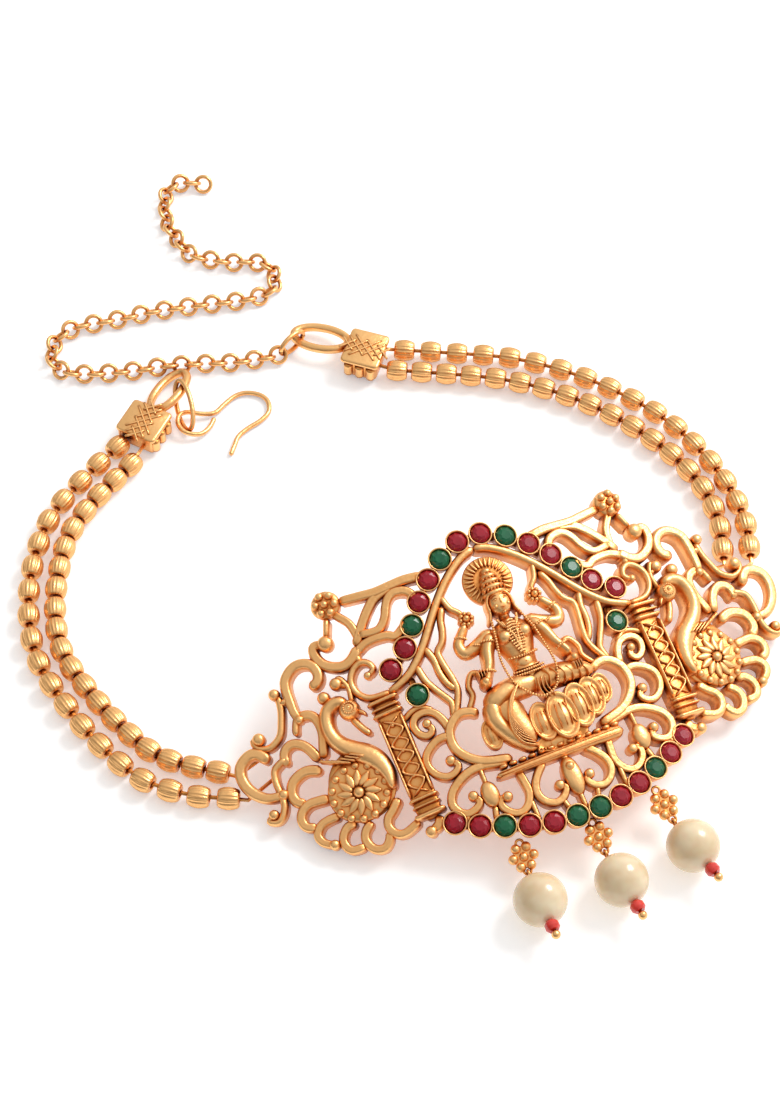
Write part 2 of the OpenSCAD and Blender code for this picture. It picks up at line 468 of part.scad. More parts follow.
module cluster(row) {
    way = unit(pin_ring_at(row) - eye_at(row));
    side = unit(cross(way, [0, 0, 1]));
    up = cross(side, way);
    half = norm(pin_ring_at(row) - eye_at(row)) / 2;
    color(gold) translate((pin_ring_at(row) + eye_at(row)) / 2)
        multmatrix([for (k = [0:2]) [side[k], way[k], up[k], 0]]) {
            // thin plate that the balls are soldered to
            translate([0, 0, -0.4]) cylinder(h = 0.7, r = grain_pitch, $fn = 32);
            sphere(grain_r, $fn = 24);
            for (k = [0:5]) rotate([0, 0, 60 * k]) translate([grain_pitch, 0, 0]) sphere(grain_r, $fn = 24);
            for (end = [-1, 1]) {
                translate([0, end * (half - ring_r), 0]) wire_ring(ring_r, drop_wire_r);
                along([0, end * 0.9, 0], [0, end, 0])
                    cylinder(h = half - 2 * ring_r - 0.9, r = drop_wire_r + 0.06, $fn = 16);
            }
        }
}

module pin(row) {
    way = pin_way(row);
    color(gold) {
        along(pin_ring_at(row), cross(way, [0, 0, 1])) wire_ring(ring_r, drop_wire_r);
        along(pin_ring_at(row) + way * ring_r, way) cylinder(h = 2 * pearl_r + 2.8, r = drop_wire_r, $fn = 16);
        translate(pearl_at(row) + way * (pearl_r + 2.5)) sphere(0.68, $fn = 24);
    }
}

module pearl(row) {
    color(pearl_white) difference() {
        translate(pearl_at(row)) sphere(pearl_r, $fn = 48);
        along(pearl_at(row) - pin_way(row) * (pearl_r + 1), pin_way(row))
            cylinder(h = 2 * pearl_r + 2, r = drop_wire_r + 0.08, $fn = 16);
    }
}

module red_bead(row) {
    bore = drop_wire_r + 0.08;
    color(coral_red) along(pearl_at(row) + pin_way(row) * (pearl_r + 0.95), pin_way(row)) rotate_extrude($fn = 24)
        polygon([[bore, -0.8], [0.75, -0.8], [1.1, -0.35], [1.1, 0.35], [0.75, 0.8], [bore, 0.8]]);
}

// Strands

function bead_row(k) = [for (p = spread(STRANDS[k][2], STRANDS[k][1])) [p[0], p[1], bead_r + 0.03]];
function thread_end(k) = plate_point(THREAD_ENDS[k][0], THREAD_ENDS[k][1], -2.6);
function thread_bend(k) = let (b = bead_row(k), n = len(b) - 1) b[n] + unit(b[n] - b[n - 1]) * 2.9 - [0, 0, 0.2];
function thread_way(k) = unit(thread_bend(k) - thread_end(k));
function thread_path(k) = concat([[THREAD_STARTS[k][0], THREAD_STARTS[k][1], 2]], bead_row(k),
                                 [thread_bend(k), thread_end(k) - thread_way(k) * 0.4]);

module barrel_bead() {
    h = bead_length / 2;
    rotate_extrude($fn = 32)
        polygon([[bead_bore_r, -h], [bead_r * 0.7, -h], [bead_r * 0.92, -h * 0.6], [bead_r, -h * 0.2], [bead_r, h * 0.2],
                 [bead_r * 0.92, h * 0.6], [bead_r * 0.7, h], [bead_bore_r, h]]);
}

module beads(k) {
    path = thread_path(k);
    color(gold) for (i = [1:STRANDS[k][1]]) along(path[i], heading(path, i)) barrel_bead();
}

module thread(k) {
    color(gold) tube(thread_path(k), thread_r, 5);
}

module end_cap(i) {
    row = CAPS[i];
    roll = row[3];
    color(gold) difference() {
        translate([row[0][0], row[0][1], 0]) rotate([0, 0, row[1]]) {
            translate([-2.9, -3.2, 0.2]) cube([5.8, 6.4, cap_height - 0.9]);
            // flat top with raised hatching
            translate([-3.3, -3.6, cap_height - 1]) cube([6.6, 7.2, 0.9]);
            for (slant = [-45, 45], k = [-1:1])
                translate([k * 1.9, 0, cap_height - 0.2]) rotate([0, 0, slant])
                    cube([0.4, 5.4 - abs(k) * 1.6, 0.5], center = true);
            // rounded lobes along the two sides
            for (side = [-1, 1], x = [-1.5, 1.4])
                translate([x, side * 2.6, 1.5]) sphere(1.35, $fn = 24);
            translate([2.6, row[2][1] - 0.9, 1.5]) cube([1.3, 1.8, 1.9]);
            oval_ring([row[2][0], row[2][1], 2.1], [1, 0, -0.08], [0, cos(roll), sin(roll)], 4.7, 2.5, loop_wire_r);
        }
        for (k = [2 * i, 2 * i + 1]) {
            path = thread_path(k);
            along(path[0] - unit(path[1] - path[0]) * 0.3, path[1] - path[0])
                cylinder(h = 6, r = thread_r + 0.12, $fn = 20);
        }
    }
}

// Fastening

module hook_ring() {
    color(gold) oval_ring([-26.9, 79.2, 2.45], unit([-0.12, -0.95, -0.28]), [0.64, -0.08, 0.77], 4.3, 1.75,
                          hook_wire_r);
}

module hook() {
    color(gold) tube(HOOK_PATH, hook_wire_r, 6);
}

module chain_ring() {
    color(gold) oval_ring([-5.7, 84.4, 2.22], unit([-0.92, -0.39, 0]), [0, 0, 1], 2.6, 1.8, hook_wire_r);
}

module chain() {
    path = curve(CHAIN_PATH, 6);
    run = run_length(path);
    count = floor(run[len(run) - 1] / link_pitch);
    mean = link_od / 2 - link_wire_r;
    level = mean * sin(45) + link_wire_r;
    color(gold) for (k = [0:count]) {
        a = at_length(path, run, k * link_pitch);
        b = at_length(path, run, k * link_pitch + 0.5);
        way = unit(k == count ? a - at_length(path, run, k * link_pitch - 0.5) : b - a);
        along([a[0], a[1], level + (k == 0 ? 0.4 : 0)], [-way[1], way[0], k % 2 == 0 ? 1 : -1]) wire_ring(mean, link_wire_r);
    }
}

// Places each piece in the frame of the whole armlet
module on_table() {
    translate([-middle[0], -middle[1], 0]) children();
}

on_table() casting();
on_table() stone(-1 * STONES[6][2], STONES[6][3], STONES[6][4]);  // stone_arch_l1
on_table() stone(-1 * STONES[5][2], STONES[5][3], STONES[5][4]);  // stone_arch_l2
on_table() stone(-1 * STONES[4][2], STONES[4][3], STONES[4][4]);  // stone_arch_l3
on_table() stone(-1 * STONES[3][2], STONES[3][3], STONES[3][4]);  // stone_arch_l4
on_table() stone(-1 * STONES[2][2], STONES[2][3], STONES[2][4]);  // stone_arch_l5
on_table() stone(-1 * STONES[1][2], STONES[1][3], STONES[1][4]);  // stone_arch_l6
on_table() stone(-1 * STONES[0][2], STONES[0][3], STONES[0][4]);  // stone_arch_l7
on_table() stone(1 * STONES[6][2], STONES[6][3], STONES[6][4]);  // stone_arch_r1
on_table() stone(1 * STONES[5][2], STONES[5][3], STONES[5][4]);  // stone_arch_r2
on_table() stone(1 * STONES[4][2], STONES[4][3], STONES[4][4]);  // stone_arch_r3
on_table() stone(1 * STONES[3][2], STONES[3][3], STONES[3][4]);  // stone_arch_r4
on_table() stone(1 * STONES[2][2], STONES[2][3], STONES[2][4]);  // stone_arch_r5
on_table() stone(1 * STONES[1][2], STONES[1][3], STONES[1][4]);  // stone_arch_r6
on_table() stone(1 * STONES[0][2], STONES[0][3], STONES[0][4]);  // stone_arch_r7
on_table() stone(-1 * STONES[7][2], STONES[7][3], STONES[7][4]);  // stone_side_l
on_table() stone(1 * STONES[7][2], STONES[7][3], STONES[7][4]);  // stone_side_r
on_table() stone(-1 * STONES[8][2], STONES[8][3], STONES[8][4]);  // stone_low_l1
on_table() stone(-1 * STONES[9][2], STONES[9][3], STONES[9][4]);  // stone_low_l2
on_table() stone(-1 * STONES[10][2], STONES[10][3], STONES[10][4]);  // stone_low_l3
on_table() stone(-1 * STONES[11][2], STONES[11][3], STONES[11][4]);  // stone_low_l4
on_table() stone(-1 * STONES[12][2], STONES[12][3], STONES[12][4]);  // stone_low_l5
on_table() stone(-1 * STONES[13][2], STONES[13][3], STONES[13][4]);  // stone_low_l6
on_table() stone(1 * STONES[8][2], STONES[8][3], STONES[8][4]);  // stone_low_r1
on_table() stone(1 * STONES[9][2], STONES[9][3], STONES[9][4]);  // stone_low_r2
on_table() stone(1 * STONES[10][2], STONES[10][3], STONES[10][4]);  // stone_low_r3
on_table() stone(1 * STONES[11][2], STONES[11][3], STONES[11][4]);  // stone_low_r4
on_table() stone(1 * STONES[12][2], STONES[12][3], STONES[12][4]);  // stone_low_r5
on_table() stone(1 * STONES[13][2], STONES[13][3], STONES[13][4]);  // stone_low_r6
on_table() cluster(DROPS[0]);  // cluster_l
on_table() cluster(DROPS[1]);  // cluster_m
on_table() cluster(DROPS[2]);  // cluster_r
on_table() pin(DROPS[0]);  // pin_l
on_table() pin(DROPS[1]);  // pin_m
on_table() pin(DROPS[2]);  // pin_r
on_table() pearl(DROPS[0]);  // pearl_l
on_table() pearl(DROPS[1]);  // pearl_m
on_table() pearl(DROPS[2]);  // pearl_r
on_table() red_bead(DROPS[0]);  // red_bead_l
on_table() red_bead(DROPS[1]);  // red_bead_m
on_table() red_bead(DROPS[2]);  // red_bead_r
on_table() beads(0);  // beads_left_outer
on_table() beads(1);  // beads_left_inner
on_table() beads(2);  // beads_right_outer
on_table() beads(3);  // beads_right_inner
on_table() thread(0);  // thread_left_outer
on_table() thread(1);  // thread_left_inner
on_table() thread(2);  // thread_right_outer
on_table() thread(3);  // thread_right_inner
on_table() end_cap(0);  // end_cap_left
on_table() end_cap(1);  // end_cap_right
on_table() hook_ring();
on_table() hook();
on_table() chain_ring();
on_table() chain();
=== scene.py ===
"""Bajuband armlet lying open: smooth metal, stones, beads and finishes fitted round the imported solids."""

from __future__ import annotations

import json
import logging
import math
from collections.abc import Sequence
from dataclasses import dataclass, field
from enum import Enum

import bmesh
import bpy
import numpy as np
from mathutils import Matrix, Vector

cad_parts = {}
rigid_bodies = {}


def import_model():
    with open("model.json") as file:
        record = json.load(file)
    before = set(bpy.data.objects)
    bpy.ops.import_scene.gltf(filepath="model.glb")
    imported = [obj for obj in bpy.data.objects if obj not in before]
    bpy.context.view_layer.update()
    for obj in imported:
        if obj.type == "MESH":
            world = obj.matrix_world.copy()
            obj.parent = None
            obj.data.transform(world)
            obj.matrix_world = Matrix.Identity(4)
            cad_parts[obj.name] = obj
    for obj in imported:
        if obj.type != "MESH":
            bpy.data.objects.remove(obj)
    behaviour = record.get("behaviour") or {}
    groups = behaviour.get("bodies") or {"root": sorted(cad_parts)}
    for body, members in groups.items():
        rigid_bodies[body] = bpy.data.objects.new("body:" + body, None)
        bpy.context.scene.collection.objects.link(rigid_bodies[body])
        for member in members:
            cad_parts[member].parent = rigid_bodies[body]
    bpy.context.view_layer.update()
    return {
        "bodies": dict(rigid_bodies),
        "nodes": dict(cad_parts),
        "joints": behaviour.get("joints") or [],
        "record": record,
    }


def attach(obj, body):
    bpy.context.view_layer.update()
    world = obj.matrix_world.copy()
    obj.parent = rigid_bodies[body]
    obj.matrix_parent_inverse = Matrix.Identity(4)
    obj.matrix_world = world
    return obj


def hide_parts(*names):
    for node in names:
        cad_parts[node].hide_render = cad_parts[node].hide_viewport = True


LOG = logging.getLogger("armlet")
MM = 0.001
MIDDLE = np.array([-8.6, 45.92, 0.0])
SIDES = (-1, 1)

Points = Sequence[Sequence[float]]


class Profile(Enum):
    """Shape of a swept strip's section."""

    ROD = "rounded"
    RIBBON = "rounded with a shallow channel"
    BAND = "flat with rounded edges"


class Repeat(Enum):
    """What a row of repeated shapes is called in its node tree."""

    BEAD = "beads"
    RIM = "rims"
    RAY = "rays"
    PETAL = "petals"
    GRAIN = "grains"
    LINK = "links"


def unit(v: np.ndarray) -> np.ndarray:
    """Returns v with length 1."""
    return v / max(float(np.linalg.norm(v)), 1e-9)


def smooth(points: Points, steps: int = 6) -> np.ndarray:
    """Draws a smooth curve through points.

    Args:
        points: the points that the curve passes.
        steps: how many points it gets between each two of them.

    Returns:
        The points of the curve.
    """
    p = np.array(points, float)
    p = np.vstack([p[0], p, p[-1]])
    out = []
    for k in range(len(p) - 3):
        a, b, c, d = p[k:k + 4]
        for i in range(steps):
            u = i / steps
            out.append(0.5 * (2 * b + (c - a) * u + (2 * a - 5 * b + 4 * c - d) * u ** 2
                              + (3 * b - a - 3 * c + d) * u ** 3))
    out.append(p[-1])
    return np.array(out)


def run_length(path: np.ndarray) -> np.ndarray:
    """Returns the running length along a row of points."""
    return np.concatenate([[0.0], np.cumsum(np.linalg.norm(np.diff(path, axis=0), axis=1))])


def spread(path: np.ndarray, count: int) -> np.ndarray:
    """Spreads points evenly along a path.

    Args:
        path: the points of the path.
        count: how many points there are to be.

    Returns:
        The new points, from its start to its end.
    """
    run = run_length(path)
    where = np.linspace(0, run[-1], count)
    return np.stack([np.interp(where, run, path[:, k]) for k in range(path.shape[1])], 1)


def straight(start: Sequence[float], end: Sequence[float], count: int) -> np.ndarray:
    """Returns count points spread evenly on the line from start to end."""
    return spread(np.array([start, end], float), count)


def turns(count: int) -> list[float]:
    """Returns the angles of count places spread evenly round a circle."""
    return [2 * math.pi * k / count for k in range(count)]


def headings(path: np.ndarray) -> np.ndarray:
    """Returns the unit direction of a path at each of its points."""
    d = np.gradient(path, axis=0)
    return d / np.maximum(np.linalg.norm(d, axis=1, keepdims=True), 1e-9)


@dataclass(frozen=True)
class PlateShape:
    """The bent and leaning plate, in millimetres."""

    lean: float = 15.6
    rise: float = 12.0
    bend: float = 73.0
    reach: float = 22.0

    def point(self, s: float, t: float, h: float) -> np.ndarray:
        """Finds a place on the plate.

        Args:
            s: distance across from the middle line.
            t: distance up the plate.
            h: height in front of its face.

        Returns:
            The point in the frame of the whole armlet, in millimetres.
        """
        side = -1 if s < 0 else 1
        turn = min(abs(s), self.reach) / self.bend
        over = max(abs(s) - self.reach, 0.0)
        x = self.bend * math.sin(turn) + over * math.cos(turn) + h * math.sin(turn)
        z = -self.bend * (1 - math.cos(turn)) - over * math.sin(turn) + h * math.cos(turn)
        lean = math.radians(self.lean)
        return np.array([side * x, t * math.cos(lean) - z * math.sin(lean),
                         t * math.sin(lean) + z * math.cos(lean) + self.rise]) - MIDDLE

    def normal(self, s: float, t: float) -> np.ndarray:
        """Returns the direction straight out of the plate's face."""
        return unit(self.point(s, t, 1.0) - self.point(s, t, 0.0))


PLATE = PlateShape()

# Stones of one half: distance from the middle line, height on the plate, is it red, node name
STONES = [(1.9, 27.5, True, "arch_{}7"), (5.4, 25.9, False, "arch_{}6"), (8.3, 23.6, True, "arch_{}5"),
          (10.9, 20.9, True, "arch_{}4"), (13.2, 18.0, False, "arch_{}3"), (15.5, 15.2, True, "arch_{}2"),
          (18.7, 13.0, True, "arch_{}1"), (16.5, 7.9, False, "side_{}"),
          (18.8, -11.9, True, "low_{}1"), (15.6, -13.8, True, "low_{}2"), (12.3, -15.2, False, "low_{}3"),
          (8.9, -16.5, True, "low_{}4"), (5.4, -17.4, True, "low_{}5"), (1.85, -17.8, False, "low_{}6")]

# Scrolls of one half: width, ridge height, radius of the knob at the end, then points across and up
SCROLLS = [
    (1.1, 0.4, 0, [[0, 25.8], [2, 25.2], [4, 24], [6, 22.4], [8, 20.4], [10, 18.1], [12, 15.6], [13.5, 13.9],
                   [15, 12.5], [17, 11.1], [20.4, 9.9]]),
    (1.2, 0.6, 0, [[7.2, -6.2], [10, -5.5], [11.8, -4.8], [13.3, -3.6], [14.4, -2], [14.6, -0.3], [14.1, 1.3],
                   [13, 2.4], [11.8, 2.9], [10.3, 2.6], [9.2, 1.8]]),
    (1.0, 0.5, 0.8, [[14.2, 1.3], [14.5, 3], [15.4, 4.6], [16.8, 5.2], [18.2, 4.9], [18.9, 3.8], [18.5, 2.4],
                     [17.4, 1.7], [16.5, 2.3], [16.9, 3.4]]),
    (0.8, 0.3, 0, [[15.2, 4.8], [16.8, 6.1], [18.4, 6], [20, 5.2]]),
    (1.0, 0.5, 0.9, [[14.4, 0.3], [15.6, 0.6], [16.8, 0.4], [18.1, -0.3], [19, -1.3], [19.2, -2.7],
                     [18.5, -4.2], [17.2, -5.1], [15.9, -5], [15, -4.1], [15.8, -3.1]]),
    (1.1, 0.5, 0.9, [[8, -6.6], [10, -6], [12, -5.6], [14, -5.7], [16, -6.5], [17.5, -7.7], [18.1, -9.2],
                     [17.6, -10.6], [16.5, -11.4], [15.2, -11.2], [14.2, -10.4], [14.8, -9.3]]),
    (0.6, 0.2, 0, [[12.3, -5.7], [12.4, -9]]),
    (1.0, 0.5, 0.9, [[7.3, -8.2], [7, -10.5], [7, -12], [7.8, -13.5], [9.1, -14.2], [10.5, -13.7],
                     [11.4, -12.5], [11.3, -11.3], [10.2, -11.3]]),
    (1.0, 0.5, 0.9, [[3.2, -8.4], [4.8, -9.9], [5.7, -11.3], [5.9, -12.8], [5.2, -14.1], [3.9, -14.8],
                     [2.5, -14.4], [1.7, -13.3], [2.4, -12.6]]),
    (0.7, 0.2, 0, [[2.8, -14.6], [2.3, -16.6]]), (0.7, 0.2, 0, [[7.2, -12.8], [7.2, -16.6]]),
    (0.8, 0.2, 0, [[12.4, -11.8], [13, -14]]), (0.8, 0.2, 0, [[16.5, -11.2], [17, -12.6]]),
    (0.9, 0.3, 0, [[8, 19], [8.9, 17.2], [9.3, 15.6], [10, 14], [11.2, 12.8], [11.2, 11], [10.8, 8.5],
                   [10.7, 6.5], [11.3, 4.9], [12.5, 2.8]]),
    (0.9, 0.3, 0, [[12.8, 14.2], [12.2, 12], [12.2, 10], [11.8, 8], [10.9, 6.5]]),
    (0.9, 0.3, 0, [[15, 12.2], [14.6, 9.6], [13.8, 7.8], [12.9, 6.2], [12.3, 4.8], [12.9, 2.6]]),
    (0.8, 0.3, 0, [[6.4, 7.2], [7.9, 7.8], [9, 6.2], [9, 4.6], [10.4, 2.8]]),
    (0.8, 0.3, 0, [[7.6, 20.6], [7, 18.4], [6, 17.2], [5.3, 15.6]]),
    (1.2, 0.4, 0, [[8.6, 24.6], [11.5, 25.1], [14, 25.1], [16.5, 25.1], [19, 25.5], [22, 26]]),
    (1.2, 0.4, 0, [[13.5, 25], [16.5, 24.4], [18.2, 23.2], [19.6, 21.8], [20.8, 20.4], [22.2, 18.6]]),
    (1.1, 0.4, 0, [[11, 21.8], [12, 23.4], [13.8, 23.9], [15, 23.3], [15.8, 22.2], [16.4, 21], [17.4, 19.9],
                   [18.6, 19.5], [21.2, 20]]),
    (1.1, 0.4, 0, [[13.6, 19], [15.9, 17.6], [17.2, 18.2], [19, 18.5], [20.8, 18.4], [22.6, 17.6]]),
    (1.0, 0.3, 0, [[21.4, 19.4], [21.5, 21], [21.9, 22.5], [22.8, 23.8], [23.6, 25]]),
    (1.3, 0.6, 1.4, [[21.8, 18.4], [23.5, 17], [25, 16.6], [26.5, 17.1], [27.8, 18.2], [28.4, 19.8], [28, 21.2],
                     [26.2, 20.8]]),
    (0.8, 0.3, 0, [[24.6, 24.4], [25.8, 21.6]]),
    (0.9, 0.4, 0.7, [[20, 10], [22.8, 10.3], [24.2, 11.2], [24.9, 12.6], [24.8, 14.2], [23.8, 15.5], [22.5, 16],
                     [21.4, 15.4], [21.1, 14.3], [22.2, 13.7]]),
    (1.2, 0.4, 0, [[20.5, -9.8], [21, -11], [22.4, -11.6]]), (0.9, 0.3, 0, [[22.5, 16], [22.8, 17.6]]),
    (1.3, 0.6, 0.8, [[31, 15.6], [29.6, 16], [29, 17.2], [29.5, 18.8], [31, 19.6], [32.5, 19.4], [33.9, 18.3],
                     [34.4, 16.8], [34.5, 15], [34.5, 13.2], [34.2, 11.8]]),
    (1.2, 0.4, 0, [[34.4, 12.2], [33, 12.1], [32.1, 11.4], [31.7, 10.2], [31.8, 8.5], [32.4, 6.8], [33, 5]]),
    (0.9, 0.4, 0, [[34.2, 12.6], [35, 11.4], [35.6, 9.8]]),
    (0.9, 0.4, 1.1, [[35.9, 16.6], [36.2, 14.5], [36.9, 12.6], [37.7, 11], [38.9, 10.1], [40.2, 9.8],
                     [41.6, 10.5], [41.9, 11.7], [41, 11.6]]),
    (1.4, 0.6, 0.9, [[41.2, 7.8], [41.3, 8.8], [42.2, 9.8], [43.5, 9.9], [45, 9], [45.6, 7.3], [45.2, 5.3],
                     [44, 3.6], [42.6, 2.7], [40.6, 2.4]]),
    (0.9, 0.4, 0.9, [[38.3, 7.3], [39.6, 6.9], [40.6, 6.2], [41, 4.6], [41, 2.8], [41.1, 1], [41.9, -0.4],
                     [43, -1], [44.1, -0.4], [43.1, 0.2]]),
    (1.2, 0.5, 0, [[33.8, 5], [34.4, 6.8], [35.3, 8.2], [36.6, 8.9], [37.9, 8.5], [38.5, 7.3], [38.3, 6.2]]),
    (1.3, 0.5, 0, [[34, 3.4], [35.8, 4.2], [37.2, 4.2], [38.7, 3.5], [39.5, 2], [39.2, 0.6], [38, -0.2]]),
    (1.2, 0.5, 0, [[34.4, -0.9], [36.1, -0.6], [37.8, -0.5], [39.1, -1.2], [39.6, -2.4], [39.2, -3.5],
                   [37.8, -4.1]]),
    (1.1, 0.5, 0.9, [[34, -3.9], [35.6, -3.8], [37.2, -4.1], [38.2, -5.3], [37.8, -6.6], [36.4, -7.6]]),
    (1.1, 0.5, 0, [[32.2, -6], [33.6, -5.9], [34.8, -7], [35, -8.3], [34.2, -9.4], [32.2, -9.6]]),
    (1.1, 0.5, 0, [[30, -6.6], [31.4, -7.6], [31.9, -9], [31.2, -10.5], [29.8, -11], [28.7, -10.2],
                   [28.2, -9]]),
    (1.1, 0.5, 0, [[25, -5], [26.4, -6.3], [27.6, -7.2], [28, -8.5], [27.3, -9.8], [25.9, -10.2],
                   [23.4, -9.4]]),
    (0.9, 0.4, 0, [[34.6, 15.4], [36.1, 15.2]]), (0.9, 0.4, 0, [[31.9, 9], [29.8, 9.2]]),
    (0.9, 0.5, 0, [[26.9, 9], [26.1, 7], [25.1, 5.4]]),
    (0.7, 0.3, 1.1, [[26, 10.8], [25.6, 13.3], [26.4, 15.2], [27.1, 14.5]]),
    (0.7, 0.3, 1.1, [[27.6, 11.6], [28.6, 12.4], [29.6, 13.3]]), (0.7, 0.3, 0, [[24.9, 13.4], [27.2, 14.3]])]

# Strands: which one, bead count, the points from the cap to the plate
STRANDS = [
    ("left_outer", 20, [[-39.7, 76], [-47, 72.2], [-54.5, 67], [-60, 59.5], [-63.6, 51], [-65, 42.5],
                        [-63.7, 33.5], [-61.2, 24.5], [-57.2, 16.2], [-51, 10.8], [-46.8, 8.6]]),
    ("left_inner", 20, [[-39, 71.8], [-47, 67.4], [-52.5, 63], [-56.5, 57], [-59.6, 50], [-61, 42.8],
                        [-59.8, 35], [-57.4, 27], [-54.2, 20], [-49.6, 15.6], [-46.6, 13.4]]),
    ("right_outer", 18, [[11, 75.8], [19, 71.6], [26.8, 67.2], [33.8, 61.2], [39.4, 54.5], [44.2, 46.5],
                         [46.9, 38], [47.8, 29.5], [46.9, 22], [45.4, 18]]),
    ("right_inner", 18, [[8.2, 72.4], [16, 68.2], [23.5, 63.8], [30, 58.4], [35.5, 52], [40, 44.5], [43, 36.5],
                         [43.9, 29], [42.7, 22.6], [41.3, 19.2]])]

# Hook: points across, along and above the surface
HOOK = [[-22.9, 68.5, 0.4], [-21.9, 69.7, 0.4], [-20.6, 71.2, 0.4], [-18.6, 72.1, 0.4], [-16, 72.8, 0.4],
        [-14.2, 73.9, 0.4], [-13.5, 75.9, 0.4], [-14.2, 77.7, 0.4], [-16.1, 79, 0.4], [-18.1, 79.1, 0.4],
        [-20.4, 78.1, 0.5], [-22.4, 77.1, 0.6], [-24.5, 77.5, 0.9], [-26.6, 78.4, 1.4], [-28.2, 78.1, 1.7],
        [-29, 76.5, 1.7], [-28.4, 74.7, 1.4], [-26.3, 73.8, 0.9], [-24.4, 74.6, 0.6], [-23.1, 75.9, 0.5]]

# Chain: points that it passes, from the ring on the right loop to its free end
CHAIN = [[-8.6, 83.4], [-12.3, 84.2], [-16.3, 85.2], [-20.5, 86.8], [-26.8, 88.9], [-31, 89.8], [-35.1, 91],
         [-39, 92.4], [-42.4, 94.4], [-43.4, 97], [-42.4, 100], [-39.8, 102], [-37, 102.4], [-33.3, 101.8],
         [-29.4, 101.1], [-25.2, 100.6], [-20.9, 99.7], [-16.8, 98.7], [-12.8, 97.6], [-8.4, 96.6],
         [-4.8, 96.8], [-2.8, 99.2], [-3.2, 102.4], [-5.6, 104.2], [-8.2, 105.2], [-11.5, 107.3],
         [-14.2, 109.8], [-15, 113.6], [-15.4, 117], [-14.8, 120], [-14, 122.6], [-12.2, 124.9],
         [-9.4, 125.4], [-7.1, 124], [-4.9, 123]]

# Rows of a round boss: share of its radius, share of its height
ROUND = ((1, 0), (0.97, 0.35), (0.85, 0.68), (0.62, 0.88), (0.34, 0.98), (0.06, 1.0))


